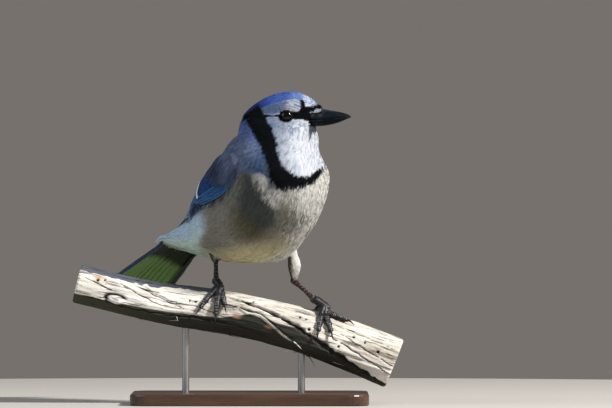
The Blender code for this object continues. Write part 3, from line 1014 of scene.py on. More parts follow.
@dataclass(frozen=True)
class Plumage:
    """Where each colour of the body's feathers is. Outlines are in mm ahead of the pivot and up."""

    crown: Colour = linear(66, 94, 166)
    crown_front: Colour = linear(120, 148, 196)
    crown_rear: Colour = linear(46, 64, 146)
    black: Colour = linear(1, 4, 8)
    white: Colour = linear(206, 210, 217)
    brow: Colour = linear(78, 98, 126)
    cheek_grey_and_shade: Colour = linear(84, 102, 130)
    mantle: Colour = linear(113, 126, 155)
    scapular: Colour = linear(38, 46, 76)
    nape: Colour = linear(92, 112, 172)
    neck_side_shade: Colour = linear(62, 84, 116)
    rump: Colour = linear(120, 152, 200)
    breast: Colour = linear(194, 192, 186)
    flank: Colour = linear(134, 131, 120)
    # wash_and_shade and low_wash_and_shade: grey on the breast's sides, partly the plumage's own and partly
    # painted shade, brownish lower down
    wash_and_shade: Colour = linear(56, 65, 65)
    fluff: Colour = linear(240, 240, 235)
    low_wash_and_shade: Colour = linear(78, 74, 42)
    # streak: the colour of the painted shade on the middle breast
    streak: Colour = linear(104, 104, 94)
    shaded_hollow: Colour = linear(46, 56, 74)
    belly: Colour = linear(214, 204, 162)
    vent: Colour = linear(208, 224, 216)
    # vent_ground_reflection and vent_sky_reflection: painted reflections on the vent's white
    vent_ground_reflection: Colour = linear(196, 212, 184)
    vent_sky_reflection: Colour = linear(168, 194, 230)
    margin: Colour = linear(66, 76, 90)
    level_line: Colour = linear(96, 112, 138)
    fine_line: Colour = linear(112, 126, 146)
    brow_front: Colour = linear(176, 182, 194)
    brow_line: Colour = linear(78, 96, 138)
    crest_edge: Colour = linear(24, 36, 72)
    nostril_grey: Colour = linear(188, 192, 202)
    chin_grey_and_shadow: Colour = linear(34, 42, 50)
    # thigh: the thighs' grey as painted shade; thigh_lit_side: their painted light
    thigh: Colour = linear(86, 84, 72)
    thigh_lit_side: Colour = linear(236, 234, 228)
    cuff: Colour = linear(92, 88, 80)
    low_edge: Rows = (
        (-180, -154, -135, -112, -90, -60, -35, -20, -13, 0, 15, 34, 52, 60, 76, 88, 112, 135, 154, 180),
        (11.8, 11.8, 11.6, 11.2, 10.8, 10.2, 9.78, 9.74, 9.67, 9.15, 8.84, 8.57, 8.47, 9.00, 9.52, 9.93,
         10.56, 11.4, 11.75, 11.8))
    high_edge: Rows = (
        (-180, -154, -139, -116, -90, -60, -35, -20, -13, 0, 7, 15, 30, 44, 53, 63, 73, 91, 116, 125, 139,
         154, 180),
        (12.05, 12.3, 12.6, 12.9, 11.9, 10.9, 9.9, 9.76, 9.9, 9.8, 9.65, 9.36, 9.32, 9.42, 9.57, 9.96,
         10.42, 11.31, 13.0, 13.0, 12.6, 12.3, 12.05))
    back_edge: Rows = (
        (1.0, 2.6, 3.3, 5.3, 6.6, 7.0, 7.9, 8.32, 8.57, 8.7), (136, 126, 110, 101, 93, 92, 91, 80, 68, 54))
    lores: Outline = (
        (34, 193.4), (34, 209.5), (26.3, 210), (23.3, 208.3), (19.8, 207.5), (19.2, 210.2), (17.6, 212.8),
        (14.9, 212.6), (16.2, 210.3), (16.0, 206.6), (14.5, 204.0), (9.5, 204.4), (9.5, 198.9), (17, 198.8),
        (21.5, 197.2), (21.8, 193.4))
    # chin: dark grey chin feathers and a painted shadow under the beak
    chin: Outline = ((21.5, 194.2), (34, 194.2), (28, 190.5), (24.4, 188.2), (22.2, 183.6))
    eye_line: Outline = (
        (4, 203.0), (-4, 201.45), (-9, 202.4), (-11.6, 206.8), (-13.8, 210.8), (-19, 207.5), (-25, 202.8),
        (-22.3, 199.9), (-18.5, 193.9), (-15.8, 187.9), (-9.7, 179.8), (1.1, 179.9), (-1.9, 185.1),
        (-6.1, 192.6), (-7.7, 200.3), (-3, 200.95), (3, 200.4))
    supercilium: Outline = (
        (-11.3, 206.8), (-4, 209.2), (3, 211), (8, 212.6), (12, 213.2), (16.2, 211.8), (17.2, 207),
        (15, 204), (11.8, 203.8), (8, 206.6), (3.8, 205.2), (-1, 203), (-8.6, 202.6))
    nostril: Outline = ((22.4, 203.5), (26.0, 203.8), (28.8, 204.8), (28.6, 206.6), (25.0, 206.1))
    gape: Outline = ((22.6, 201.6), (24.2, 203.0), (35, 204.4), (35, 193.6), (26, 194.3), (22.9, 196.4))
    crown_edge: Rows = (
        (-30, -22.5, -18, -13.8, -11.3, -4, 3, 8, 12, 16.2, 18.5, 30),
        (196, 201.8, 205.5, 208.6, 206.8, 209.2, 211, 212.6, 213.2, 211.8, 209.6, 208.6))

    def body(self, t: Array, right: Array, rough: Array) -> Array:
        """Colours behind the collar.

        Args:
            t: The section.
            right: Degrees from the middle of the belly, above zero on the right side.
            rough: Uneven edges, from -1 to 1.

        Returns:
            The colours.
        """
        away = np.abs(right)
        # Painted shade on the middle of the breast, with streaky edges
        start = np.interp(t, (6.9, 7.4, 7.7, 8.0, 8.3, 8.6), (4, -4, 2, 17, 26, 31))
        most = np.interp(t, (7.6, 7.8, 8.5), (56, 44, 46))
        streaked_shade = smooth(-15, 15, right - start + rough * 22) * smooth(most, most - 14, right)
        streaked_shade = streaked_shade * smooth(6.75, 7.1, t)
        colour = mixed(self.breast, self.streak, streaked_shade * np.interp(t, (7.7, 8.1), (0.95, 0.72)))
        mottled = smooth(0.1, 0.7, rough) * smooth(9.0, 8.4, t) * smooth(-60, 10, right)
        colour = mixed(colour, self.flank, mottled * 0.45)
        # shade: where the painted shade line runs; beyond it, on the right side, the flank's own grey stands
        # in for painted shade
        shade = np.interp(t, (6.6, 6.8, 7.05, 7.34, 7.54, 7.71, 7.85, 8.1, 8.4),
                          (0, 5, 16, 23, 31, 39, 51, 63, 73))
        side = np.maximum(smooth(-11, 14, right - shade + rough * 13), smooth(50, 80, rough * 8 - right))
        colour = mixed(colour, self.flank, side * smooth(8.5, 8.2, t))
        # The breast's sides darken as painted shade over their own grey, bluish above and brownish below
        behind = np.interp(t, (5.2, 6.0, 6.4, 6.66, 7.0, 7.54, 8.2), (58, 64, 68, 70, 74, 77, 84))
        near, full = np.interp(t, (6.9, 7.3), (22, 10)), np.interp(t, (6.9, 7.3), (46, 40))
        wash_and_shade = side * smooth(18, -8, away - behind + rough * 6) * smooth(near, full, away)
        wash_and_shade = wash_and_shade * smooth(8.6, 8.1, t) * smooth(5.2, 6.9, t) * 0.88
        colour = mixed(colour, mixed(self.low_wash_and_shade, self.wash_and_shade, smooth(6.5, 7.1, t)), wash_and_shade)
        limit = np.interp(t, (5.2, 5.6, 5.9, 6.2, 6.5, 6.8), (45, 46, 41, 35, 30, 27))
        pale = smooth(7.3, 5.8, t) * smooth(14, -14, away - limit + rough * 5)
        pale = pale * np.maximum(smooth(-16, 4, right), smooth(5.9, 5.3, t))
        colour = mixed(colour, self.belly, pale * 0.88)
        tufts = np.exp(-(((t - 6.0) / 0.55) ** 2) - ((right + 21) / 20) ** 2) * smooth(0.6, 0.0, rough)
        colour = mixed(colour, self.fluff, tufts * 0.9)
        # The vent with a painted green reflection near its middle and a painted blue skylight on its sides
        vent = mixed(self.vent, self.vent_ground_reflection, smooth(66, 36, away + rough * 8) * 0.8)
        vent = mixed(vent, self.vent_sky_reflection, smooth(70, 88, away + rough * 8) * 0.5)
        colour = mixed(colour, vent, smooth(3.9, 2.6, t + rough * 0.3 - 1.4 * smooth(60, 86, away)))
        edge = np.interp(t, *self.back_edge) + 4 * rough
        back = mixed(self.mantle, self.nape, smooth(8.8, 11.0, t) * smooth(60, 120, away))
        # shoulder_shade: painted shade where the wing meets the back
        shoulder_shade = np.exp(-(((t - 8.12) / 0.42) ** 2) - ((away - 114) / 14) ** 2)
        back = mixed(back, self.scapular, shoulder_shade * 0.42)
        # Painted shade on the side of the neck next to the collar
        back = mixed(back, self.neck_side_shade, smooth(102, 74, away + rough * 4) * smooth(8.2, 8.7, t) * 0.95)
        lower = smooth(7.9, 6.6, t + np.clip(110 - away, 0, 30) * 0.03 + rough * 0.2)
        back = mixed(back, self.scapular, lower * 0.8)
        back = mixed(back, self.rump, smooth(4.2, 2.8, t + rough * 0.2))
        colour = mixed(colour, back, smooth(-4, 4, away - edge))
        # Painted shade in the crease under the wing's lower edge
        fold_shade = np.exp(-(((away - edge - 2) / 7) ** 2)) * smooth(8.5, 7.6, t) * smooth(5.1, 5.7, t)
        return mixed(colour, self.shaded_hollow, fold_shade * 0.65)

    def face(self, forward: Array, side: Array, up: Array, rough: Array) -> Array:
        """Colours ahead of the collar.

        Args:
            forward: How far ahead of the pivot, in mm.
            side: How far to the left.
            up: The height.
            rough: Uneven edges, from -1 to 1.

        Returns:
            The colours.
        """
        spot = np.stack([forward, up], -1)
        spots = np.stack([forward, side, up], -1)
        level = Lattice(7)(spots, (5.0, 5.0, 0.9))
        hang = Lattice(8)(spots, (0.9, 0.9, 7.0))
        fine = Lattice(11)(spots, (0.7, 0.7, 5.0))
        near_eye = np.exp(-(((forward + 1.0) / 10.5) ** 2) - ((up - 196.0) / 5.0) ** 2)
        colour = mixed(self.white, self.cheek_grey_and_shade,
                       near_eye * (0.35 + 0.65 * smooth(-0.4, 0.5, level + rough * 0.4)))
        # Painted shade on the rear of the face and throat, in cheek_grey_and_shade
        colour = mixed(colour, self.cheek_grey_and_shade, smooth(16, -7, forward + rough * 2 + hang * 3) * 0.80)
        streaks = smooth(0.0, 0.5, hang + rough * 0.4) * smooth(199, 192, up) * smooth(21, 10, forward)
        colour = mixed(colour, self.cheek_grey_and_shade, streaks * 0.6)
        lines = smooth(0.15, 0.55, level + hang) * smooth(201, 195, up) * smooth(184, 192, up)
        colour = mixed(colour, self.level_line, lines * 0.6)
        hairs = smooth(0.0, 0.45, fine + rough * 0.3) * smooth(201, 194, up) * smooth(180, 190, up)
        colour = mixed(colour, self.fine_line, hairs * 0.55)
        edge = np.interp(forward, *self.crown_edge)
        brow = signed_inside(np.array(self.supercilium), spot)
        slanted = np.stack([forward * 0.9 - up * 0.5, side, up * 1.1 + forward * 0.4], -1)
        lines = Lattice(10)(slanted, (4.0, 4.0, 0.8))
        tone = mixed(self.brow, self.brow_front, smooth(0, 10, forward + rough * 3 + lines * 4))
        tone = mixed(tone, self.brow_line, smooth(0.0, 0.6, lines + rough * 0.3) * 0.75)
        colour = mixed(colour, tone, smooth(-0.5, 0.5, brow))
        line = signed_inside(np.array(self.eye_line), spot)
        colour = mixed(colour, self.black, smooth(-0.45, 0.45, line + rough * 0.35))
        crown = mixed(self.crown, self.crown_front, smooth(4, 20, forward + rough * 2) * 0.9)
        crown = mixed(crown, self.crown_rear, smooth(-2, -16, forward + rough * 2))
        border = smooth(5.0, 0.0, up - edge) * smooth(-2, -12, forward) * 0.7
        crown = mixed(crown, self.crest_edge, np.maximum(smooth(-20, -25, forward), border))
        mottle = smooth(16.5, 19, forward) * smooth(-0.35, 0.15, rough)
        crown = mixed(crown, self.white, mottle * 0.85)
        colour = mixed(colour, crown, smooth(-0.6, 0.6, up - edge + rough * 0.5))
        dark = signed_inside(np.array(self.lores), spot)
        dark = np.maximum(dark, 4.2 - np.hypot((forward - 6.0) / 1.36, up - 201.1))
        colour = mixed(colour, self.black, smooth(-0.45, 0.45, dark + rough * 0.35))
        pale = signed_inside(np.array(self.nostril), spot)
        colour = mixed(colour, self.nostril_grey, smooth(-0.3, 0.5, pale + rough * 0.5) * 0.8)
        # Dark grey chin feathers with a painted shadow under the beak
        chin = signed_inside(np.array(self.chin), spot)
        return mixed(colour, self.chin_grey_and_shadow, smooth(-0.5, 0.8, chin + rough * 0.4) * 0.9)

    def colour(self, t: Array, angle: Array, profile: tuple[Array, Array, Array], rough: Array) -> Array:
        """The colour of the feathers at places of the body form.

        Args:
            t: The section.
            angle: The angle round it.
            profile: Ahead, left and up in mm of the head.
            rough: Uneven edges, from -1 to 1.

        Returns:
            The colours, (..., 3).
        """
        right = from_belly(angle)
        low, high = np.interp(right, *self.low_edge), np.interp(right, *self.high_edge)
        uneven = t + rough * 0.09
        colour = self.body(t, right, rough)
        beside = smooth(-0.6, -0.02, uneven - low) * smooth(38, 48, right) * smooth(75, 62, right)
        colour = mixed(colour, self.margin, beside * 0.8)
        colour = mixed(colour, self.black, smooth(-0.12, 0.07, uneven - low))
        return mixed(colour, self.face(*profile, rough), smooth(-0.03, 0.03, uneven - high))


# The coat


@dataclass
class Patch:
    """A closed grid of the outline that feathers grow on, with what each of its faces says of them."""

    points: Array
    t: Array
    angle: Array

    def __post_init__(self) -> None:
        """Works out each face's middle, area, outward direction and the tree to find them with."""
        rows, columns = self.points.shape[:2]
        self.corners, i, j = grid_faces(rows, columns)
        flat = self.points.reshape(-1, 3)
        a, b, c, d = (flat[self.corners[:, k]] for k in range(4))
        self.middle = (a + b + c + d) / 4
        out = np.cross(c - a, d - b)
        self.area = np.linalg.norm(out, axis=-1) / 2
        core = self.points.mean(axis=1)[i]
        self.out = unit(out) * np.sign((out * (self.middle - core)).sum())
        step = 2 * math.pi / columns
        self.face_t = (self.t[i] + self.t[i + 1]) / 2
        self.face_angle = self.angle[j] + step / 2
        self.spans = np.stack([self.t[i + 1] - self.t[i], np.full(len(i), step)], -1)
        self.ahead = unit((c + d) - (a + b))
        self.tree = BVHTree.FromPolygons(flat.tolist(), self.corners.tolist())

    def settle(self, points: Array) -> tuple[Array, Array]:
        """Brings places down to the grid.

        Args:
            points: The places.

        Returns:
            The nearest places on it and the numbers of their faces.
        """
        flat = points.reshape(-1, 3)
        found = [self.tree.find_nearest(p) for p in flat.tolist()]
        spots = np.array([tuple(f[0]) for f in found])
        faces = np.array([f[2] for f in found])
        return spots.reshape(points.shape), faces.reshape(points.shape[:-1])


@dataclass
class Growth:
    """What the feathers are like on each face of a patch. Lengths are in metres."""

    density: Array
    length: Array
    spread: Array
    blade: Array
    depth: Array
    level: Array
    tip: Array
    stiff: Array
    lie: Array
    colour: Array
    cover: Array

    @classmethod
    def even(cls, count: int, lie: Array, colour: Array, **numbers: Array) -> "Growth":
        """Feathers on count faces, whose other numbers are each one value or one for each face."""
        spread_out = {name: value * np.ones(count) for name, value in numbers.items()}
        return cls(lie=lie, colour=colour, **spread_out)


@dataclass
class Locks:
    """Small feathers, each a fan of fine blades, which lie along the body."""

    patch: Patch
    growth: Growth
    seed: int
    blades: int = 5
    stations: int = 5
    settle: bool = True

    def roots(self, rng: np.random.Generator) -> tuple[Array, Array]:
        """Scatters the locks evenly.

        Args:
            rng: The source of chance.

        Returns:
            Each lock's face, and its place in the face.
        """
        wanted = self.patch.area / MM**2 * self.growth.density
        total = np.cumsum(wanted)
        counts = np.diff(np.floor(np.concatenate([[0.0], total]) + 0.5)).astype(int)
        faces = np.repeat(np.arange(len(wanted)), counts)
        return faces, rng.random((len(faces), 2))

    def paths(self, faces: Array, share: Array, rng: np.random.Generator) -> tuple[Array, ...]:
        """Where each lock lies.

        Args:
            faces: The face that each lock grows on.
            share: Its place in the face.
            rng: The source of chance.

        Returns:
            Points along each lock, (n, stations, 3), the outward directions there, the faces under
            them, and each lock's length.
        """
        patch, growth = self.patch, self.growth
        flat = patch.points.reshape(-1, 3)
        a, b, c, d = (flat[patch.corners[faces, k]] for k in range(4))
        x, y = share[:, :1], share[:, 1:]
        here = a * (1 - x) * (1 - y) + b * x * (1 - y) + c * x * y + d * (1 - x) * y
        length = growth.length[faces] * rng.uniform(0.82, 1.15, len(faces))
        twist = rng.normal(0, 0.10, (len(faces), 1))
        stiff = growth.stiff[faces][:, None]
        points, outs, under = [here], [patch.out[faces]], [faces]
        way = growth.lie[faces]
        for _ in range(self.stations - 1):
            lie = growth.lie[under[-1]] if self.settle else way
            way = unit(way * stiff + lie * (1 - stiff) + np.cross(outs[-1], lie) * twist)
            ahead = points[-1] + way * (length / (self.stations - 1))[:, None]
            if self.settle:
                landed, on = patch.settle(ahead)
                points.append(landed + (ahead - landed) * stiff)
                outs.append(patch.out[on])
                under.append(on)
            else:
                points.append(ahead)
                outs.append(outs[-1])
                under.append(faces)
        return np.stack(points, 1), np.stack(outs, 1), np.stack(under, 1), length

    def grow(self) -> dict[str, Array]:
        """Makes the blades.

        Returns:
            Arrays by name: the points (locks, blades, 7, 3), the layers and the maps of the same shape,
            and the section that each lock's root is in.
        """
        rng = np.random.default_rng(self.seed)
        patch, growth = self.patch, self.growth
        faces, share = self.roots(rng)
        points, outs, under, length = self.paths(faces, share, rng)
        count, blades = len(faces), self.blades
        s = np.linspace(0, 1, self.stations)
        depth, level = growth.depth[faces], growth.level[faces] * rng.uniform(-1.0, 0.0, count)
        rise = 1 - (1 - np.clip(s / 0.45, 0, 1)) ** 2
        height = -depth[:, None] + (depth + level)[:, None] * rise + growth.tip[faces][:, None] * s**3
        cover = growth.cover[under]
        height = np.where(cover > 0, np.maximum(height, cover + 0.1 * MM), height)
        height[:, 0] = np.where(cover[:, 0] > 0, cover[:, 0] * 0.6, height[:, 0])
        spine = points + outs * height[..., None]
        _, across, over = frames(spine, outs)
        place = (np.arange(blades) + 0.5) / blades * 2 - 1 + rng.uniform(-0.22, 0.22, (count, blades))
        reach = (1 - 0.34 * place**2) * rng.uniform(0.84, 1.06, (count, blades))
        stops = np.array([0.0, 0.36, 0.72, 1.0])
        at = reach[..., None] * stops
        low = np.minimum((at * (self.stations - 1)).astype(int), self.stations - 2)
        mix = (at * (self.stations - 1) - low)[..., None]
        number = np.arange(count)[:, None, None]
        base = spine[number, low] * (1 - mix) + spine[number, low + 1] * mix
        wide = unit(across[number, low] * (1 - mix) + across[number, low + 1] * mix)
        high = unit(over[number, low] * (1 - mix) + over[number, low + 1] * mix)
        widening = 0.22 + 0.78 * np.clip(at, 0, 1) ** 0.8
        fan = growth.spread[faces][:, None, None] * place[..., None] * widening
        sink = -(fan**2) / (16 * MM) - rng.uniform(0, 0.25, (count, blades, 1)) * MM * at
        middle = base + wide * fan[..., None] + high * sink[..., None]
        roll = rng.normal(0, 0.38, (count, blades, 1, 1))
        edge = wide * np.cos(roll) + high * np.sin(roll)
        taper = growth.blade[faces][:, None, None] * np.array([0.7, 1.0, 0.8])
        half = taper * rng.uniform(0.8, 1.2, (count, blades, 1))
        left = middle[:, :, :3] - edge[:, :, :3] * half[..., None]
        right = middle[:, :, :3] + edge[:, :, :3] * half[..., None]
        sides = np.stack([left, right], 3).reshape(count, blades, 6, 3)
        corners = np.concatenate([sides, middle[:, :, 3:]], 2)
        if self.settle:
            _, on = patch.settle(middle[:, :, 2])
            colour = growth.colour[on]
        else:
            colour = np.repeat(growth.colour[faces][:, None], blades, 1)
        colour = np.repeat(colour[:, :, None], 7, 2)
        plumage = np.concatenate([colour, np.ones((*corners.shape[:3], 1))], -1)
        along = np.broadcast_to(np.array([0, 0, 0.36, 0.36, 0.72, 0.72, 1.0]), corners.shape[:3])
        barb = np.broadcast_to(rng.random((count, blades, 1)), along.shape)
        lock = np.broadcast_to(rng.random((count, 1, 1)), along.shape)
        root_t = patch.face_t[faces] + (share[:, 1] - 0.5) * patch.spans[faces, 0]
        root_angle = patch.face_angle[faces] + (share[:, 0] - 0.5) * patch.spans[faces, 1]
        inner = (place * 0.42 + 0.5)[..., None] + np.array([-0.08, 0.08, -0.08, 0.08, -0.06, 0.06, 0.0])
        return {
            "points": corners, "plumage": plumage, "strand": layer(along, barb, lock, 0.0),
            "root_t": root_t, "root_turn": (root_angle + math.pi / 2) / (2 * math.pi) % 1,
            "patch_u": inner, "patch_v": along, "ends": spine[:, -1],
        }


BLADE_FACES = np.array([(0, 1, 3), (0, 3, 2), (2, 3, 5), (2, 5, 4), (4, 5, 6)])


def comb(name: str, parts: list[dict[str, Array]], low: float, high: float) -> Piece:
    """Joins the locks whose roots lie between two sections into one mesh.

    Args:
        name: The piece's name.
        parts: What Locks.grow gave.
        low: The lowest section.
        high: The highest section.

    Returns:
        The piece. On its map each lock is a patch 0.003 across, at its root's place on an unwrap of the
        skin by section and angle.
    """
    shell = Shell(name)
    for part in parts:
        chosen = (part["root_t"] >= low) & (part["root_t"] < high)
        points = part["points"][chosen]
        count = points.shape[0] * points.shape[1]
        if not count:
            continue
        u = 0.004 + part["root_turn"][chosen][:, None, None] * 0.988 + part["patch_u"][chosen] * 0.003
        share = (part["root_t"][chosen] - low) / (high - low)
        v = 0.004 + share[:, None, None] * 0.988 + part["patch_v"][chosen] * 0.003
        uv = np.stack([u, v], -1).reshape(count, 7, 2)[:, BLADE_FACES]
        faces = (np.arange(count) * 7)[:, None, None] + BLADE_FACES
        layers = {k: part[k][chosen].reshape(-1, 4) for k in ("plumage", "strand")}
        shell.add(points.reshape(-1, 3), faces.reshape(-1, 3), uv.reshape(-1, 3, 2), **layers)
    return shell.build()


# Wings and tail


@dataclass(frozen=True)
class Paint:
    """How a long feather is painted: its shares of blue, white tip and bars, and how many bars fit on it."""

    blue: float
    white: float
    bars: float
    turns: float


@dataclass(frozen=True)
class Feather:
    """One feather of a wing: its root and its tip, each as a section and a share of the wing's breadth, its
    half width in mm, how high it lies at both ends, and its paint.
    """

    root: Pair
    tip: Pair
    half: float
    level: Pair
    paint: Paint


def vane(shell: Shell, path: Array, up: Array, half: float, lot: float, paint: Paint,
         cells: tuple[int, int, int], camber: float, under: float = 0.0) -> None:
    """Adds one feather's vane, closed and thin, with a round tip.

    Args:
        shell: The mesh to add to.
        path: The shaft's line, (n, 3).
        up: The outer side's direction at each point.
        half: Half the vane's width in metres.
        lot: The feather's own random number.
        paint: How it is painted.
        cells: The number of its cell on the map, and how many columns and rows of cells there are.
        camber: How far the edges drop, as a share of the half width.
        under: How much of the lower side is painted with the yellow-green reflected light and the painted
            shadow at the root.
    """
    count = len(path)
    _, across, over = frames(path, up)
    s = np.linspace(0, 1, count)
    round_tip = np.sqrt(np.clip(1 - np.clip((s - 0.80) / 0.20, 0, 1) ** 2.2, 0, 1))
    width = half * np.clip(0.55 + 1.2 * s, 0, 1) * np.maximum(round_tip, 0.04)
    y = np.linspace(-1, 1, 9)
    ridge = np.exp(-((y / 0.14) ** 2)) * 0.10 * MM
    drop = camber * width[:, None] * (y**2) - ridge[None, :] * (1 - s[:, None] * 0.7)
    edge = 1 + 0.035 * np.sin(37 * s + lot * 20)[:, None] * np.abs(y)[None] ** 3
    aside = across[:, None] * (width[:, None] * y * edge)[..., None]
    top = path[:, None] + aside - over[:, None] * drop[..., None]
    thin = 0.22 * MM * (1 - np.abs(y) ** 4 * 0.8)
    low = top - over[:, None] * (thin[None] * (1 - 0.5 * s[:, None]))[..., None]
    coat = layer(s[:, None], (y[None] + 1) / 2, lot, paint.turns)
    number, columns, rows = cells
    for side, points in enumerate((top, low)):
        cell = number * 2 + side
        u, v = (cell % columns) / columns, (cell // columns) / rows
        window = (u + 0.06 / columns, v + 0.04 / rows, u + 0.94 / columns, v + 0.96 / rows)
        # dull: how much of the lower side takes the painted reflected light
        dull = side * under
        tone = layer(paint.blue * (1 - dull), paint.white * (1 - dull * 0.5), paint.bars * (1 - dull), dull)
        shell.grid(points, window=window, flip=side == 1, vane=coat, paint=tone)


@dataclass(frozen=True)
class WingPlan:
    """The folded wing as the CAD has it: section, upper and lower angle, and thickness in mm."""

    rows: Rows = (
        (8.5, 158, 168, 0.6), (7.9, 145, 176, 1.2), (7.0, 131, 180, 2.0), (5.8, 120, 170, 2.6),
        (4.6, 111, 161, 2.8), (3.5, 104, 158, 2.6), (2.9, 101, 157, 2.3), (2.4, 99, 146, 2.0),
        (1.4, 97, 126, 1.4), (0.6, 101, 113, 0.8))
    lift: float = 0.5

    def lens(self, t: Array, share: Array) -> tuple[Array, Array]:
        """The right wing's angle and its outer face's height in metres.

        Args:
            t: The section.
            share: 0 at the wing's lower edge and 1 at the upper.

        Returns:
            The angle in radians and the height.
        """
        table = np.array(self.rows)[::-1]
        upper, lower, thick = (np.interp(t, table[:, 0], table[:, i]) for i in (1, 2, 3))
        over = 2 * np.asarray(share) - 1
        rise = self.lift + 0.5 + thick * np.sqrt(np.clip(1 - over**2, 0, 1))
        return np.radians(lower + (upper - lower) * share), rise * MM

    def cover(self, t: Array, angle: Array) -> tuple[Array, Array]:
        """How places of the body lie under either wing.

        Args:
            t: The section.
            angle: The angle round it, in radians.

        Returns:
            How deep they lie inside the wing's outline, in mm, and the height of its outer face.
        """
        turn = np.degrees(angle) % 360
        turn = np.where(np.cos(np.radians(turn)) > 0, (180 - turn) % 360, turn)
        table = np.array(self.rows)[::-1]
        upper, lower = (np.interp(t, table[:, 0], table[:, i]) for i in (1, 2))
        share = (lower - turn) / (lower - upper)
        inside = np.minimum(share, 1 - share) * (lower - upper) * 0.55
        inside = np.minimum(inside, np.minimum((8.5 - t) * 14, (t - 0.6) * 15))
        _, height = self.lens(t, np.clip(share, 0, 1))
        return inside, height


@dataclass
class Wing:
    """One folded wing: rows of coverts over the tertials, secondaries and primaries."""

    side: str
    form: BodyForm
    plan: WingPlan
    columns: int = 12
    rows: int = 14
    seed: int = 21

    def place(self, t: Array, share: Array, level: Array) -> tuple[Array, Array]:
        """Points of the wing.

        Args:
            t: The section.
            share: 0 at the lower edge and 1 at the upper.
            level: The share of the wing's thickness.

        Returns:
            The points, and the outward directions there.
        """
        angle, height = self.plan.lens(t, np.clip(share, 0, 1))
        angle = angle + (np.clip(share, 0, 1) - share) * 0.9
        angle = np.pi - angle if self.side == "left" else angle
        out = self.form.normal(t, angle)
        return self.form.point(t, angle) + out * (height * level)[..., None], out

    def feathers(self) -> list[Feather]:
        """The wing's feathers: primaries, secondaries, tertials and two rows of coverts.

        Returns:
            The feathers, the lowest first.
        """
        found: list[Feather] = []
        for i in range(9):
            x = i / 8
            root, tip = (4.8, 0.13 + 0.47 * x), (0.62 + 2.3 * (1 - x) ** 1.3, 0.16 + 0.66 * x)
            paint = Paint(blue=0.12 + 0.3 * x, white=0.1, bars=0.35, turns=13.0)
            found.append(Feather(root, tip, half=3.0, level=(0.30, 0.55 + 0.08 * x), paint=paint))
        for i in range(8):
            x = i / 7
            root, tip = (6.3, 0.16 + 0.68 * x), (2.75 + 0.85 * (1 - x) ** 1.5, 0.20 + 0.56 * x)
            paint = Paint(blue=1.0, white=0.9 * x, bars=1.0, turns=24.0 - 12.0 * x)
            found.append(Feather(root, tip, half=3.3, level=(0.40, 0.74 + 0.07 * x), paint=paint))
        for i in range(3):
            x = i / 2
            root, tip = (6.2, 0.72 + 0.18 * x), (3.3 - 0.35 * x, 0.78 + 0.12 * x)
            paint = Paint(blue=1.0, white=0.9, bars=1.0, turns=9.0)
            found.append(Feather(root, tip, half=4.2, level=(0.5, 0.84 + 0.05 * x), paint=paint))
        for i in range(5):
            x = i / 4
            root, tip = (7.3, 0.05 + 0.10 * x), (4.95 - 0.2 * x, 0.07 + 0.24 * x)
            paint = Paint(blue=0.9, white=0.0, bars=0.25, turns=16.0)
            found.append(Feather(root, tip, half=1.3, level=(0.5, 0.80 + 0.04 * x), paint=paint))
        for i in range(12):
            x = i / 11
            root, tip = (6.5, 0.30 + 0.64 * x), (5.10 - 0.22 * (1 - x), 0.24 + 0.70 * x)
            paint = Paint(blue=0.95, white=1.0, bars=0.35, turns=8.0)
            found.append(Feather(root, tip, half=1.9, level=(0.6, 1.02), paint=paint))
        return found

    def build(self, material: Material) -> Piece:
        """Makes a dark bed with the feathers over it.

        Args:
            material: The vanes' finish.

        Returns:
            The piece.
        """
        rng = np.random.default_rng(self.seed)
        shell = Shell(f"wing_feathers_{self.side}")
        t, share = np.meshgrid(np.linspace(7.2, 0.75, 40), np.linspace(0.03, 0.97, 15), indexing="ij")
        bed = layer(0.5, share, 0.5, 1.0)
        paint = layer(0.25 + 0 * t, 0, 0, 0)
        for number, (level, flip) in enumerate(((0.42, self.side == "left"), (0.10, self.side != "left"))):
            window = (0.01 + 0.06 * number, 0.94, 0.06 + 0.06 * number, 0.99)
            sheet, _ = self.place(t, share, np.array(level))
            shell.grid(sheet, flip=flip, window=window, vane=bed, paint=paint)
        s = np.linspace(0, 1, 18)
        s = 1 - (1 - s) ** 1.25
        for number, one in enumerate(self.feathers()):
            bow = np.sin(math.pi * s) * rng.uniform(-0.01, 0.02)
            t = one.root[0] + (one.tip[0] - one.root[0]) * s + rng.uniform(-0.04, 0.04)
            share = one.root[1] + (one.tip[1] - one.root[1]) * s + bow
            level = one.level[0] + (one.level[1] - one.level[0]) * s
            path, out = self.place(t, share, level)
            cells = (number, self.columns, self.rows)
            vane(shell, path, out, one.half * MM, rng.random(), one.paint, cells, camber=0.16)
        return place_piece(shell.build(), material, "wing_blue", f"wing_{self.side}")


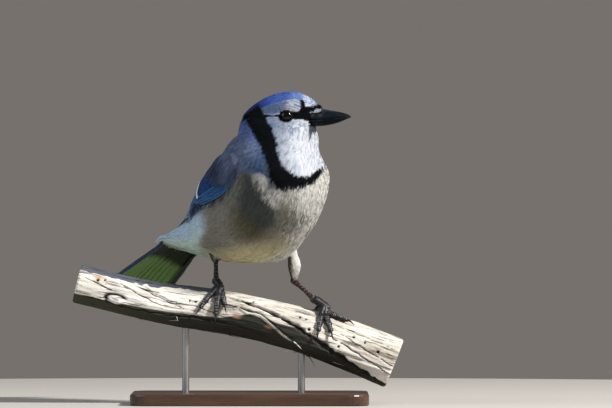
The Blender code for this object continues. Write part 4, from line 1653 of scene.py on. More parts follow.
@dataclass
class Tail:
    """Twelve tail feathers as a fan: barred blue above, with white corners, and below a dull yellow-green
    that is painted reflected light, with painted shadow at the roots.
    """

    pose: Pose
    drop: float = math.radians(30.5)
    roll: float = math.radians(13.0)
    root: Pair = (-89.4, 111.0)
    long: float = 80.0
    half_root: float = 16.6
    spread: float = math.tan(math.radians(9.5))
    arch: float = 4.5
    shorter: float = 17.0
    columns: int = 6
    rows: int = 5
    seed: int = 33

    def place(self, share: Array, across: Array, lift: Array) -> Array:
        """Points of the fan.

        Args:
            share: 0 at the root and 1 at the tip.
            across: -1 at the right edge and 1 at the left.
            lift: Height over the fan's middle sheet, in mm.

        Returns:
            The points.
        """
        reach = (self.long - self.shorter * np.abs(across) ** 2.5) * share
        half = self.half_root + self.spread * np.maximum(reach, 0)
        f = self.root[0] - reach * math.cos(self.drop)
        sag = self.arch * across**2
        u = self.root[1] - reach * math.sin(self.drop) - sag - half * across * math.sin(self.roll) + lift
        x, y = self.pose.turned(f * MM - self.pose.pivot, half * across * MM, self.pose.body_yaw)
        return np.stack([x, y, u * MM], -1)

    def build(self, material: Material) -> Piece:
        """Makes the fan and its two folded edges.

        Args:
            material: The vanes' finish.

        Returns:
            The piece.
        """
        rng = np.random.default_rng(self.seed)
        shell = Shell("tail_feathers")
        s = np.linspace(-0.12, 1, 26)
        s = np.where(s > 0, 1 - (1 - s) ** 1.2, s)
        for number in range(12):
            across = (number - 5.5) / 6.3
            lift = 0.65 - 1.3 * abs(across) + 0.05 * number / 12
            path = self.place(s, across * (1 + 0 * s), lift - 0.2 * s)
            out = np.cross(np.gradient(path, axis=0), self.place(s, across + 0.05, lift) - path)
            out = unit(out * np.sign(out[:, 2:3]))
            paint = Paint(1.0, float(smooth(0.25, 0.6, np.array(abs(across)))), 1.0, 13.0)
            cells = (number, self.columns, self.rows)
            half = (4.2 + 0.9 * abs(across)) * MM
            vane(shell, path, out, half, rng.random(), paint, cells, camber=0.05, under=1.0)
        for number, across, half, blue, bars in ((12, -1.0, 3.2, 1.0, 0.6), (13, 0.965, 1.9, 0.0, 1.0)):
            path = self.place(s, across * (1 + 0 * s), -1.8 + 0 * s)
            out = np.broadcast_to(np.array([0.0, 0.0, 1.0]), path.shape)
            cells = (number, self.columns, self.rows)
            paint = Paint(blue, white=0.0, bars=bars, turns=0.0)
            vane(shell, path, out, half * MM, 0.4, paint, cells, camber=0.05)
        return place_piece(shell.build(), material, "tail_olive", "tail")


# The coated body


@dataclass
class CoatedBody:
    """The skin and all the small feathers of the head, neck, trunk and thighs."""

    form: BodyForm
    plumage: Plumage
    wings: WingPlan
    bands: Numbers = (-1.01, 2.6, 4.7, 6.6, 8.3, 10.4, 14.0, 17.4, 22.5)
    scapular_edge: Rows = (
        (100, 118, 130, 140, 160, 172, 178), (5.6, 5.7, 6.15, 6.5, 7.0, 7.57, 7.91))
    eye: Pair = (6.2, 201.1)
    left_thigh: Rows = ((25, 2, 118), (29.4, 8, 105.5), (31.0, 13.5, 96.5), (30.9, 19.7, 87.6))
    left_radii: Numbers = (7.5, 3.7, 4.5, 2.3)
    right_thigh: Rows = ((-26, 12, 122), (-25, 15.5, 110), (-24.1, 13.6, 100.4))
    right_radii: Numbers = (8.0, 5.6, 2.7)

    def tint(self, points: Array, t: Array, angle: Array) -> Array:
        """The plumage's colour at places of the form."""
        rough = Lattice(5)(points, (1.3 * MM, 1.3 * MM, 2.4 * MM)) * 0.7 + Lattice(6)(points, 0.6 * MM) * 0.5
        return self.plumage.colour(t, angle, self.form.pose.profile(points), rough)

    def patch(self) -> Patch:
        """Lays a grid over the outline, from the tail coverts to the beak.

        Returns:
            The grid.
        """
        t = np.concatenate([np.linspace(-1.0, 8.0, 150)[:-1], np.linspace(8.0, self.form.last, 190)])
        angle = np.linspace(0, 2 * math.pi, 200, endpoint=False)
        return Patch(self.form.point(t[:, None], angle[None]), t, angle)

    def lie(self, patch: Patch) -> Array:
        """Which way the feathers point: to the tail, and on the face away from the beak.

        Args:
            patch: The body's outline.

        Returns:
            A direction for each face.
        """
        pose = self.form.pose
        beak = pose.head(30 * MM, 0.0, 199.5 * MM)
        back = -patch.ahead
        away = patch.middle - beak
        away = unit(away - patch.out * dot(away, patch.out))
        share = smooth(11.2, 14.0, patch.face_t)[:, None]
        way = unit(back * (1 - share) + away * share)
        _, side, _ = pose.profile(patch.middle)
        eye = pose.head(self.eye[0] * MM, np.sign(side) * 15 * MM, self.eye[1] * MM)
        from_eye = patch.middle - eye
        near = np.exp(-((np.linalg.norm(from_eye, axis=-1) / (6.0 * MM)) ** 2))[:, None]
        from_eye = unit(from_eye - patch.out * dot(from_eye, patch.out))
        return unit(way + from_eye * near * 1.6)

    def growth(self, patch: Patch) -> Growth:
        """The kind of feather on each face of the outline.

        Args:
            patch: The body's outline.

        Returns:
            The growth.
        """
        t = patch.face_t
        right = from_belly(patch.face_angle)
        away = np.abs(right)
        forward, side, up = self.form.pose.profile(patch.middle)
        sections = (-1, 0, 2, 5, 8, 9.5, 11, 13, 15, 19, 22)
        length = np.interp(t, sections, (12, 14, 14, 13, 11.5, 9, 7.5, 6, 4.2, 3.2, 2.2))
        spread = np.interp(t, sections, (2.2, 2.4, 2.5, 2.4, 2.1, 1.7, 1.3, 1.0, 0.7, 0.55, 0.4))
        blade = np.interp(t, sections, (0.32, 0.32, 0.33, 0.32, 0.29, 0.24, 0.20, 0.17, 0.14, 0.12, 0.10))
        density = np.interp(t, sections, (0.9, 0.9, 0.85, 0.9, 1.05, 1.5, 2.0, 2.5, 3.2, 3.8, 4.6))
        throat = smooth(60, 30, away) * smooth(9.2, 10.2, t)
        length = length * (1 + throat * 0.35)
        crest = smooth(120, 150, away) * smooth(12.0, 12.8, t) * smooth(17.5, 15.5, t)
        room = np.clip((forward + 30.6) * 1.1, 3.5, 12)
        length = length + (room - length) * crest
        spread = spread * (1 - crest * 0.25)
        inside, height = self.wings.cover(t, patch.face_angle)
        scapular = np.interp(270 - away, *self.scapular_edge)
        density = np.where((inside > np.where(away > 110, 3.5, 1.2)) & (t < scapular), 0.0, density)
        density = np.where(t < 0.75 + 0.5 * smooth(90, 130, away), 0.0, density)
        gape = signed_inside(np.array(self.plumage.gape), np.stack([forward, up], -1))
        density = np.where(gape > 0, 0.0, density)
        eye = np.hypot((forward - self.eye[0]) / 4.7, (up - self.eye[1]) / 3.4)
        density = np.where((eye < 1) & (np.abs(side) > 8), 0.0, density)
        near = smooth(2.2, 1.0, eye)
        length, blade = length * (1 - near * 0.55), blade * (1 - near * 0.3)
        tip = 0.05 + 0.20 * smooth(9, 4, t) * smooth(110, 60, away) + 0.25 * throat
        level = np.interp(t, sections, (0.6, 0.7, 0.8, 0.9, 0.9, 0.8, 0.7, 0.5, 0.35, 0.25, 0.2))
        level = level * np.where(away > 100, 0.7, 1.0)
        fluff = np.exp(-(((t - 6.2) / 0.55) ** 2) - ((right + 26) / 16) ** 2)
        tip = tip + 3.6 * fluff
        length = length + 2.5 * fluff
        stiff = 0.12 + crest * 0.5 + smooth(0.6, -0.6, t) * 0.5
        colour = self.tint(patch.middle, t, patch.face_angle)
        cover = np.where(inside > 0, height * smooth(0, 4, inside), 0.0)
        return Growth(density, length * MM, spread * MM, blade * MM, self.form.depth(t), level * MM,
                      tip * MM, stiff, self.lie(patch), colour, cover)

    def eye_clear(self, part: dict[str, Array]) -> dict[str, Array]:
        """Takes out the locks that end over an eye.

        Args:
            part: What Locks.grow gave.

        Returns:
            The rest.
        """
        forward, side, up = self.form.pose.profile(part["ends"])
        eye = np.hypot((forward - self.eye[0]) / 4.3, (up - self.eye[1]) / 3.1)
        keep = (eye > 1) | (np.abs(side) < 8)
        return {key: values[keep] for key, values in part.items()}

    def bristles(self, patch: Patch, growth: Growth) -> dict[str, Array]:
        """Stiff little feathers that point forward over the beak's base and nostrils.

        Args:
            patch: The body's outline.
            growth: Its feathers, for their colours.

        Returns:
            The locks.
        """
        forward, side, up = self.form.pose.profile(patch.middle)
        near = smooth(22.0, 25.0, forward) * smooth(202.6, 204.0, up) * smooth(210.5, 208.0, up)
        ahead = self.form.pose.head(1.0, 0.0, 0.0) - self.form.pose.head(0.0, 0.0, 0.0)
        down = np.stack([0 * up, 0 * up, (203.5 - up) * 0.02], -1)
        kinds = Growth.even(len(up), unit(ahead + down), growth.colour, density=near * 6.0, length=2.9 * MM,
                            spread=0.4 * MM, blade=0.09 * MM, depth=0.8 * MM, level=0.3 * MM, tip=-0.5 * MM,
                            stiff=0.3, cover=0.0)
        return Locks(patch, kinds, seed=12, settle=False).grow()

    def thigh(self, spine: Rows, radii: Numbers) -> Patch:
        """The outline of a feathered thigh, from the trunk to the cuff over the tarsus.

        Args:
            spine: Points of its middle line, in mm.
            radii: The radius at each, in mm.

        Returns:
            The grid.
        """
        s = np.linspace(0, 2, 34)
        place = s * (len(spine) - 1) / 2
        path = Track(np.array(spine)).at(place) * MM
        wide = Track(np.array(radii)[:, None]).at(place)[:, 0] * MM
        rings, turn = sweep(path, wide, 40, np.array([1.0, 0.2, 0.0]))
        return Patch(rings[1:-1], s, turn)

    def thigh_locks(self, patch: Patch, lit: float, seed: int) -> dict[str, Array]:
        """The feathers of a thigh, which point down it.

        Args:
            patch: The thigh's outline.
            lit: How much painted light the thigh's side towards +X gets.
            seed: The seed of chance.

        Returns:
            The locks.
        """
        t = patch.face_t
        # Painted light on the side towards +X and painted shade on the rest
        sunny = smooth(-0.6, -0.1, Lattice(9)(patch.middle, 1.5 * MM) * 0.3 + patch.out[:, 0]) * lit
        colour = mixed(self.plumage.thigh, self.plumage.thigh_lit_side, sunny)
        colour = mixed(colour, self.plumage.cuff, smooth(1.7, 2.0, t) * 0.6)
        length = np.interp(t, (0, 1, 1.6, 2), (9.0, 7.0, 4.5, 1.6)) * MM
        depth = np.interp(t, (0, 2), (1.6, 0.5)) * MM
        kinds = Growth.even(len(t), patch.ahead, colour, density=2.6, length=length, spread=1.1 * MM,
                            blade=0.17 * MM, depth=depth, level=0.4 * MM, tip=0.15 * MM,
                            stiff=0.15, cover=0.0)
        return Locks(patch, kinds, seed).grow()

    def skin(self, patch: Patch, thighs: list[Patch], material: Material) -> Piece:
        """One closed skin for the head, neck, trunk and thighs, under the feathers.

        Args:
            patch: The body's outline.
            thighs: The thighs' outlines.
            material: The skin's material.

        Returns:
            The piece.
        """
        source = bpy.data.meshes.new("skin_down")
        t = np.linspace(0.3, self.form.last, 170)
        angle = np.linspace(0, 2 * math.pi, 72, endpoint=False)
        body = self.form.point(t[:, None], angle[None], -self.form.depth(t)[:, None])
        corners, faces, count = [], [], 0
        grids = [body] + [p.points - (p.points - p.points.mean(1, keepdims=True)) * 0.22 for p in thighs]
        for grid in grids:
            rows, columns = grid.shape[:2]
            faces += (grid_faces(rows, columns)[0] + count).tolist()
            rim = count + np.arange(columns)
            faces += [rim[::-1].tolist(), (rim + (rows - 1) * columns).tolist()]
            corners.append(grid.reshape(-1, 3))
            count += rows * columns
        source.from_pydata(np.concatenate(corners).tolist(), [], faces)
        rough = bpy.data.objects.new("skin_source", source)
        bpy.context.scene.collection.objects.link(rough)
        remesh = rough.modifiers.new("one skin", "REMESH")
        remesh.mode, remesh.voxel_size = "VOXEL", 0.9 * MM
        rough.modifiers.new("even", "SMOOTH").iterations = 4
        whole = bpy.data.meshes.new_from_object(rough.evaluated_get(bpy.context.evaluated_depsgraph_get()))
        bpy.data.objects.remove(rough)
        places = np.empty(len(whole.vertices) * 3)
        whole.vertices.foreach_get("co", places)
        places = places.reshape(-1, 3)
        quads = np.array([tuple(p.vertices) for p in whole.polygons if len(p.vertices) == 4])
        _, on = patch.settle(places)
        turn = ((patch.face_angle + math.pi / 2) / (2 * math.pi) % 1)[on][quads]
        turn = np.where(turn - turn[:, :1] > 0.5, 0.0, np.where(turn - turn[:, :1] < -0.5, 1.0, turn))
        level = ((patch.face_t + 1) / (self.form.last + 1))[on][quads]
        shell = Shell("skin_down")
        tint = self.tint(patch.middle, patch.face_t, patch.face_angle)[on]
        plumage = np.concatenate([tint, np.ones((len(tint), 1))], -1)
        shell.add(places, quads, np.stack([turn, level], -1) * 0.98 + 0.01, plumage=plumage)
        flesh = ("head", "crest", "neck", "trunk", "thigh_right", "thigh_left")
        return place_piece(shell.build(), material, "breast_grey", *flesh)

    def build(self) -> None:
        """Makes the skin and the coat's pieces."""
        patch = self.patch()
        growth = self.growth(patch)
        thighs = [self.thigh(self.left_thigh, self.left_radii),
                  self.thigh(self.right_thigh, self.right_radii)]
        self.skin(patch, thighs, SkinFinish().build())
        coat = PlumageFinish().build()
        parts = [self.eye_clear(Locks(patch, growth, seed=3).grow()), self.bristles(patch, growth)]
        for number, (low, high) in enumerate(zip(self.bands, self.bands[1:]), 1):
            place_piece(comb(f"coat_{number}", parts, low, high), coat, "breast_grey")
        down = [self.thigh_locks(p, lit, seed) for p, lit, seed in zip(thighs, (1.0, 0.5), (41, 42))]
        place_piece(comb("coat_thighs", down, 0.0, 2.01), coat, "breast_grey")


# Beak and eyes


@dataclass
class Beak:
    """The two halves of the beak.

    A row has the place ahead, the ridge, the cutting edge, the keel and the half width, in mm of the head.
    """

    pose: Pose
    rows: Rows = (
        (20.6, 206.0, 199.0, 194.6, 9.6), (22.6, 206.8, 198.9, 194.1, 10.7),
        (24.5, 207.2, 198.9, 194.0, 10.4), (26.2, 207.3, 198.8, 194.1, 9.2),
        (28.0, 207.2, 198.7, 194.2, 7.4), (29.8, 206.8, 198.7, 194.3, 6.1),
        (32.0, 206.2, 198.6, 194.5, 5.2), (36.0, 205.4, 198.9, 195.1, 4.3),
        (41.0, 204.6, 199.4, 196.3, 3.3), (45.6, 203.6, 200.0, 198.0, 2.2),
        (48.6, 202.6, 200.5, 199.4, 1.35), (50.4, 201.7, 200.7, 200.1, 0.7),
        (51.2, 201.1, 200.7, 200.4, 0.3))
    gap: float = 0.12

    def half(self, upper: bool, material: Material) -> Piece:
        """Makes one half, a closed horn with a sharp cutting edge.

        Args:
            upper: Whether it is the upper half.
            material: Its horn.

        Returns:
            The piece.
        """
        share = np.linspace(0, len(self.rows) - 1, 90)
        ahead, ridge, edge, keel, half = (a[:, None] for a in Track(np.array(self.rows)).at(share).T)
        a = np.linspace(0, math.pi, 33)[None]
        vault = 1 - np.linspace(-1, 1, 9)[None] ** 2
        if upper:
            rise = ridge - edge
            hook = -0.35 * smooth(0.90, 1.0, share / share[-1])[:, None]
            side = half * np.cos(a) * (1 - 0.10 * np.sin(a) ** 6)
            up = edge + self.gap / 2 + rise * np.sin(a) ** 0.88
            groove = np.exp(-(((ahead - 32.5) / 3.4) ** 2) - ((up - 203.6) / 1.2) ** 2)
            side = side * (1 - 0.10 * groove)
            inner_side = half * np.linspace(-0.9, 0.9, 9)[None]
            inner_up = edge + self.gap / 2 + 0.5 * vault + hook
            up = up + hook * (1 - np.sin(a))
        else:
            drop = edge - keel
            side = -0.92 * half * np.cos(a)
            up = edge - self.gap / 2 - drop * np.sin(a) ** 0.82
            inner_side = 0.92 * half * np.linspace(0.9, -0.9, 9)[None]
            inner_up = edge - self.gap / 2 - 0.4 * vault
        side, up = np.concatenate([side, inner_side], 1), np.concatenate([up, inner_up], 1)
        rings = self.pose.head(ahead * MM, side * MM, up * MM)
        ends = [np.repeat(rings[i].mean(0)[None, None], rings.shape[1], 1) for i in (0, -1)]
        rings = np.concatenate([ends[0], rings, ends[1]])
        along = np.linspace(0, 1, len(rings))[:, None]
        turn = np.linspace(0, 1, rings.shape[1])[None]
        # Painted highlight along the top of the upper half, faint on the lower
        flank = (0.90 if upper else 0.10) * np.exp(-(((turn - 0.39) / 0.22) ** 2))
        light = flank * np.clip(1.15 - along, 0.2, 1)
        shell = Shell("beak_horn_upper" if upper else "beak_horn_lower")
        shell.grid(rings, closed=True, horn=layer(along * 1.3, turn * 4, light, 0.0))
        return place_piece(shell.build(), material, "beak_black", "beak_upper" if upper else "beak_lower")

    def build(self) -> None:
        """Makes both halves."""
        # light: the colour of the painted highlight
        dark, light = linear(2, 10, 17), linear(66, 82, 98)
        horn = HornFinish("beak_horn", dark, light, rough=0.42, lines=1.2, gloss=0.07).build()
        for upper in (True, False):
            self.half(upper, horn)


@dataclass
class Eye:
    """An eyeball set in its socket, with a bulging cornea, and the bare rims of its lids."""

    pose: Pose
    side: str
    radius: float = 5.4
    at: Spot = (6.9, 11.0, 201.1)
    opening: Pair = (4.0, 2.85)
    tilt: float = math.radians(-8.0)

    def spot(self, ahead: Array, out: Array, up: Array) -> Array:
        """Points round the eye's middle, given in mm.

        Args:
            ahead: How far ahead.
            out: How far out to the eye's side.
            up: How far up.

        Returns:
            The points.
        """
        sign = 1 if self.side == "left" else -1
        forward, aside, height = self.at[0] + ahead, sign * (self.at[1] + out), self.at[2] + up
        return self.pose.head(forward * MM, aside * MM, height * MM)

    def ball(self, material: Material) -> Piece:
        """Makes the eyeball, as rings round its own axis.

        Args:
            material: The iris.

        Returns:
            The piece.
        """
        lean = np.array([0.16, 0.985, 0.03])
        lean = lean / np.linalg.norm(lean)
        first = unit(np.cross(lean, (0.0, 0.0, 1.0)))
        second = np.cross(first, lean)
        reach = np.linspace(0.0, math.radians(66), 40)[:, None]
        turn = turns(56)[None]
        size = self.radius * (1 + 0.035 * np.exp(-((reach / math.radians(38)) ** 2)))
        sideways = first * np.cos(turn)[..., None] + second * np.sin(turn)[..., None]
        offset = (lean * np.cos(reach)[..., None] + np.sin(reach)[..., None] * sideways) * size[..., None]
        points = self.spot(*np.moveaxis(offset, -1, 0))
        shell = Shell(f"eyeball_{self.side}")
        iris = layer(reach / (math.pi / 2), np.abs(turn / math.pi - 1), 0, 0)
        shell.grid(points, closed=True, flip=self.side == "right", iris=iris)
        return place_piece(shell.build(), material, "eye_brown", f"eye_{self.side}")

    def lids(self, material: Material) -> Piece:
        """Makes the ring of bare skin round the opening, with a drawn-out rear corner.

        Args:
            material: The lids' skin.

        Returns:
            The piece.
        """
        turn = np.linspace(0, 2 * math.pi, 97)[:-1]
        rear = 0.55 * np.exp(-(((turn - math.pi) / 0.35) ** 2))
        corner = rear + 0.5 * np.exp(-((np.minimum(turn, 2 * math.pi - turn) / 0.3) ** 2))
        wide, high = (self.opening[0] + corner) * np.cos(turn), self.opening[1] * np.sin(turn)
        ahead = wide * math.cos(self.tilt) + high * math.sin(self.tilt)
        up = high * math.cos(self.tilt) - wide * math.sin(self.tilt)
        out = np.sqrt(np.maximum(0.0, (self.radius + 0.12) ** 2 - np.minimum(ahead**2 + up**2, 20.5)))
        around = turns(14)
        thick = 0.44 + 0.05 * np.sin(turn * 23)[:, None]
        swing = thick * np.cos(around)[None] + 0.18
        tube_ahead = ahead[:, None] + np.cos(turn)[:, None] * swing
        tube_up = up[:, None] + np.sin(turn)[:, None] * swing
        points = self.spot(tube_ahead, out[:, None] + thick * np.sin(around)[None], tube_up)
        points = np.concatenate([points, points[:1]])
        shell = Shell(f"eyelids_{self.side}")
        grow = np.linspace(1.04, 1.42, 12)[:, None]
        rim = np.minimum((ahead**2 + up**2) * grow**2, 27.0)
        height = np.sqrt((self.radius + 0.16) ** 2 - rim) - 0.9 * (grow - 1.04) ** 2
        sheet = self.spot(ahead * grow, height, up * grow)
        edge = np.clip(np.sin(around), 0, 1)[None] * 0.3
        left = self.side == "left"
        skin, bead = layer(0.0, 0.2, 0.6, 0.4), layer(edge, 0.1, 0.3, 0.4)
        shell.grid(sheet, closed=True, flip=left, window=(0.01, 0.90, 0.99, 0.99), scute=skin)
        shell.grid(points, closed=True, flip=left, window=(0.01, 0.01, 0.99, 0.88), scute=bead)
        return place_piece(shell.build(), material, "leg_black")

    def build(self, iris: Material, lid: Material) -> None:
        """Makes the ball and the lids."""
        self.ball(iris)
        self.lids(lid)


# Branch


@dataclass(frozen=True)
class Crack:
    """A split along the branch: its line (X in mm, angle in degrees), its half width in mm at the start, the
    middle and the end, its depth in mm, and how high a lip stands beside it.
    """

    line: Outline
    wide: Spot
    deep: float
    lip: float = 0.0


@dataclass(frozen=True)
class Branch:
    """The branch as the CAD has it: X, Z and radius in mm along its middle line."""

    rows: Rows = (
        (-190, 104, 14), (-128, 86.3, 14.1), (-60, 70.3, 14.3), (0, 61, 15.4), (60, 43.8, 17),
        (116, 22.4, 17.8), (170, 2, 18))
    left: float = -121.0
    right: float = 101.0

    def middle(self, x: Array) -> tuple[Array, Array, Array]:
        """The branch's middle line.

        Args:
            x: X in metres.

        Returns:
            The points there, the slope and the radius.
        """
        line = Track(np.array(self.rows)).at(np.linspace(0, 6, 1200))
        height, radius = (np.interp(x / MM, line[:, 0], line[:, i]) for i in (1, 2))
        after, before = (np.interp(x / MM + step, line[:, 0], line[:, 1]) for step in (1, -1))
        slope = (after - before) / 2
        return np.stack([x, 0 * x, height * MM], -1), slope, radius * MM

    def point(self, x: Array, angle: Array, lift: Array = 0.0) -> Array:
        """Points over the branch.

        Args:
            x: X in metres.
            angle: In radians: 0 faces the viewer, and a right angle is the top.
            lift: How far above the surface they are, in metres.

        Returns:
            The points.
        """
        x, angle, lift = np.broadcast_arrays(np.asarray(x, dtype=float), angle, lift)
        middle, slope, radius = self.middle(x)
        rise = unit(np.stack([-slope, 0 * slope, 1 + 0 * slope], -1))
        wave = 1 + 0.03 * np.sin(2 * angle + x / (24 * MM)) + 0.02 * np.sin(3 * angle - x / (15 * MM))
        out = rise * np.sin(angle)[..., None]
        out[..., 1] -= np.cos(angle)
        return middle + out * (radius * wave + lift)[..., None]


@dataclass
class Perch:
    """The cut length of weathered branch, with its cracks, holes, knot, splinters and sawn ends."""

    branch: Branch
    cracks: tuple[Crack, ...] = (
        Crack(((-19, 50), (-9, 42), (7, 28), (20, 18), (35, 3), (50, -13), (66, -33), (82, -52), (104, -74)),
              (0.5, 1.9, 3.2), 3.4),
        Crack(((-30, 26), (-18, 23), (-8, 20), (7, 13), (17, -5), (25, -20), (33, -30)),
              (0.4, 0.9, 0.3), 1.5, 1.1),
        Crack(((-93, 32), (-78, 12), (-63, -6)), (0.25, 0.5, 0.2), 1.0),
        Crack(((-85, 41), (-64, 16), (-45, -5)), (0.25, 0.5, 0.2), 0.9),
        Crack(((-75, 34), (-57, 13), (-38, 7), (-20, -10)), (0.2, 0.45, 0.2), 0.9),
        Crack(((-118, 22), (-106, 12), (-96, 4)), (0.3, 0.6, 0.3), 1.0),
        Crack(((-116, -30), (-80, -34), (-40, -26), (-5, -34), (20, -52)), (0.3, 0.8, 0.3), 1.1, 0.4),
        Crack(((48, 14), (62, 2), (80, -12), (101, -30)), (0.25, 0.6, 0.5), 1.2),
        Crack(((60, 24), (75, 10), (101, -8)), (0.2, 0.5, 0.4), 1.0),
        Crack(((30, 60), (60, 44), (100, 30)), (0.2, 0.35, 0.3), 0.7),
        Crack(((-110, 70), (-60, 62), (-10, 75)), (0.2, 0.4, 0.2), 0.7),
        Crack(((-120, 130), (-60, 118), (0, 138), (60, 120), (101, 132)), (0.3, 1.1, 0.5), 2.0, 0.4),
        Crack(((-100, 185), (-40, 172), (10, 196), (70, 180)), (0.3, 0.8, 0.3), 1.4),
        Crack(((-60, 235), (0, 228), (70, 246), (101, 236)), (0.3, 1.4, 0.8), 2.4),
        Crack(((-120, 285), (-50, 292), (20, 280), (90, 300)), (0.3, 0.7, 0.4), 1.2),
    )
    holes: tuple[Spot, ...] = (
        (0, 44, 0.8), (32.5, 33, 0.9), (36.7, 32, 0.8), (40.5, 9, 1.3), (46.6, 3, 0.9), (62.6, -9, 1.0),
        (70, 26, 1.1), (78, 22, 0.9), (88, 12, 1.2), (-38.5, 21, 1.0), (-42.7, 22, 0.8), (-107.6, 24, 1.2),
        (-103, 30, 0.9), (60, 150, 1.1), (-30, 160, 1.0), (20, 205, 1.2), (-80, 150, 0.9))
    rust: tuple[Spot, ...] = (
        (-106, 30, 5.0), (-100, 22, 3.0), (-9, -4, 3.0), (14, -14, 2.5), (41, 8, 2.5), (84, 0, 4.0),
        (96, 14, 4.0), (-50, -16, 3.0), (26, 28, 2.0))
    slivers: tuple[tuple[Spot, Spot, float, float], ...] = (
        ((42, -84, 0.2), (27, -86, 2.2), 0.45, 1.0), ((44, -80, 0.2), (52, -76, 6.5), 0.35, 0.1),
        ((33, -32, 0.6), (40, -42, 1.8), 0.5, 1.0), ((47, -88, 0.2), (36, -80, 1.2), 0.3, 0.8),
        ((-50, -30, 0.2), (-49, -38, 1.6), 0.25, 1.0), ((98, 52, 0.2), (92, 50, 1.6), 0.4, 1.0))
    knot: tuple[float, float, float, float] = (-92.6, -19.0, 2.7, 2.4)
    # shade_line: the angle along X where the painted light of the bleached top gives way to painted shade
    shade_line: Rows = ((-121, -60, -20, 0, 20, 35, 66, 101), (-30, -20, -16, 8, 2, 2, -34, -60))
    # bird_shadow: the lower edge of the bird's painted shadow, as an angle along X
    bird_shadow: Rows = ((-121, -84, -70, -56, -42, -30, -24), (46, 46, 47, 61, 66, 60, 84))
    stations: int = 620
    corners: int = 190

    def off(self, level: Array, turn: Array, radius: Array) -> Array:
        """How far round the surface places are above an angle in degrees, in mm."""
        return np.radians((turn - level + 180) % 360 - 180) * radius

    def near(self, line: Outline, x: Array, angle: Array, radius: Array) -> tuple[Array, Array]:
        """How far places are above a line on the surface, and how far along it they are.

        Args:
            line: Points of X in mm and angle in degrees.
            x: The places' X in mm.
            angle: Their angle in degrees.
            radius: The branch's radius there in mm.

        Returns:
            The signed distance and the share of the line's length, which runs past 0 and 1.
        """
        points = np.array(line)
        level = np.interp(x, points[:, 0], points[:, 1])
        return self.off(level, angle, radius), (x - points[0, 0]) / (points[-1, 0] - points[0, 0])

    def relief(self, x: Array, angle: Array) -> tuple[Array, Array, Array, Array]:
        """The carving of the surface at X in mm and angle in radians.

        Args:
            x: Places along the branch.
            angle: Places round it.

        Returns:
            The rise in mm, and how much each place is the bleached top, which is partly painted light, a
            crack, hole or the knot's recess darkened as painted shade, and rust.
        """
        _, _, radius = self.branch.middle(x * MM)
        radius, turn = radius / MM, np.degrees(angle)
        flow = 2.2 * np.sin(x / 31.0) + 1.2 * np.sin(x / 13.0 + 1.3)
        round_it = np.stack([np.cos(angle) * radius, np.sin(angle) * radius], -1)
        grain = np.concatenate([x[..., None] * 0.08, round_it + flow[..., None] * 0.25], -1)
        rise = 0.42 * Lattice(51)(grain, 1.9) + 0.20 * Lattice(52)(grain * (1.6, 1, 1), 0.8)
        rise = rise + 0.09 * Lattice(53)(grain * (3, 1, 1), 0.36)
        rise = rise + 0.5 * Lattice(54)(grain * (2.4, 1, 1), 6.0)
        dark = np.zeros(x.shape)
        for crack in self.cracks:
            off, share = self.near(crack.line, x, turn, radius)
            off = off + 0.5 * Lattice(55)(np.stack([x, 0 * x, 0 * x], -1), 4.0)
            uneven = 0.75 + 0.5 * Lattice(56)(np.stack([x, 0 * x + 3, 0 * x], -1), 2.2)
            wide = np.interp(share, (0, 0.5, 1), crack.wide) * uneven
            ends = smooth(-0.02, 0.05, share) * smooth(1.02, 0.95, share)
            groove = np.exp(-((np.abs(off) / np.maximum(wide, 0.1)) ** 3)) * ends
            rise = rise - crack.deep * groove
            rise = rise + crack.lip * np.exp(-(((off + wide * 1.9) / (0.8 * wide + 0.3)) ** 2)) * ends
            # Painted shade in the crack
            dark = np.maximum(dark, groove)
        # Holes, darkened as painted shade
        for at, level, size in self.holes:
            reach = np.hypot(x - at, self.off(level, turn, radius))
            pit = smooth(size, size * 0.55, reach)
            rise, dark = rise - 1.6 * pit, np.maximum(dark, pit)
        rust = np.zeros(x.shape)
        for at, level, size in self.rust:
            reach = np.hypot((x - at) * 0.6, self.off(level, turn, radius))
            rust = np.maximum(rust, smooth(size, 0, reach))
        at, level, size, high = self.knot
        off = self.off(level, turn, radius)
        reach = np.hypot((x - at) / 1.9, off)
        rise = rise + high * smooth(size * 1.25, size * 0.5, reach) * (0.7 + 0.3 * np.sin((x - at) * 0.5))
        # The knot's recess, darkened as painted shade
        shaded_hollow = np.exp(-(((reach - size * 1.4) / 0.75) ** 2)) * smooth(-1.6, 1.2, off - (x - at) * 0.32)
        rise, dark = rise - 2.4 * shaded_hollow, np.maximum(dark, shaded_hollow)
        # The bleached top with painted light, down to the painted shade line; the knot's face is pale too
        shade_line = np.interp(x, *self.shade_line)
        upright = (turn + 90) % 360 - 90
        silver_and_lit = smooth(-7, 7, upright - shade_line) * smooth(202, 186, upright)
        silver_and_lit = np.maximum(silver_and_lit, smooth(size * 1.25, size * 0.7, reach))
        # Painted highlight on the lip beside the second crack
        lip, share = self.near(self.cracks[1].line, x, turn, radius)
        lit = np.exp(-(((lip + 1.3) / 1.1) ** 2)) * smooth(-0.05, 0.1, share) * smooth(1.05, 0.9, share)
        silver_and_lit = np.maximum(silver_and_lit, lit)
        return np.minimum(rise - 0.25, 0.55 + 4 * smooth(size * 1.6, size, reach)), silver_and_lit, dark, rust

    def ends(self, shell: Shell, rim: Array, x: float) -> None:
        """Adds a sawn end, with rings of growth.

        Args:
            shell: The mesh to add to.
            rim: The last ring's points.
            x: Its X in metres.
        """
        middle = self.branch.middle(np.array(x))[0]
        share = np.linspace(1, 0, 16)[:, None]
        disc = middle + (rim[None] - middle) * share[..., None]
        disc[1:-1, :, 0] += Lattice(57)(disc[1:-1], 0.9 * MM) * 0.12 * MM
        reach = np.linalg.norm(disc - middle, axis=-1)
        wood = layer(0.5, smooth(0.25, 0.0, reach / MM) * 0.6, 0.0, smooth(1.0, 0.96, share) + 0 * reach)
        low = 0.90 if x < 0 else 0.94
        shell.grid(disc, closed=True, window=(0.01, low, 0.99, low + 0.03), flip=x < 0, wood=wood,
                   grain=layer(disc[..., 1], disc[..., 2], reach, 0.0))

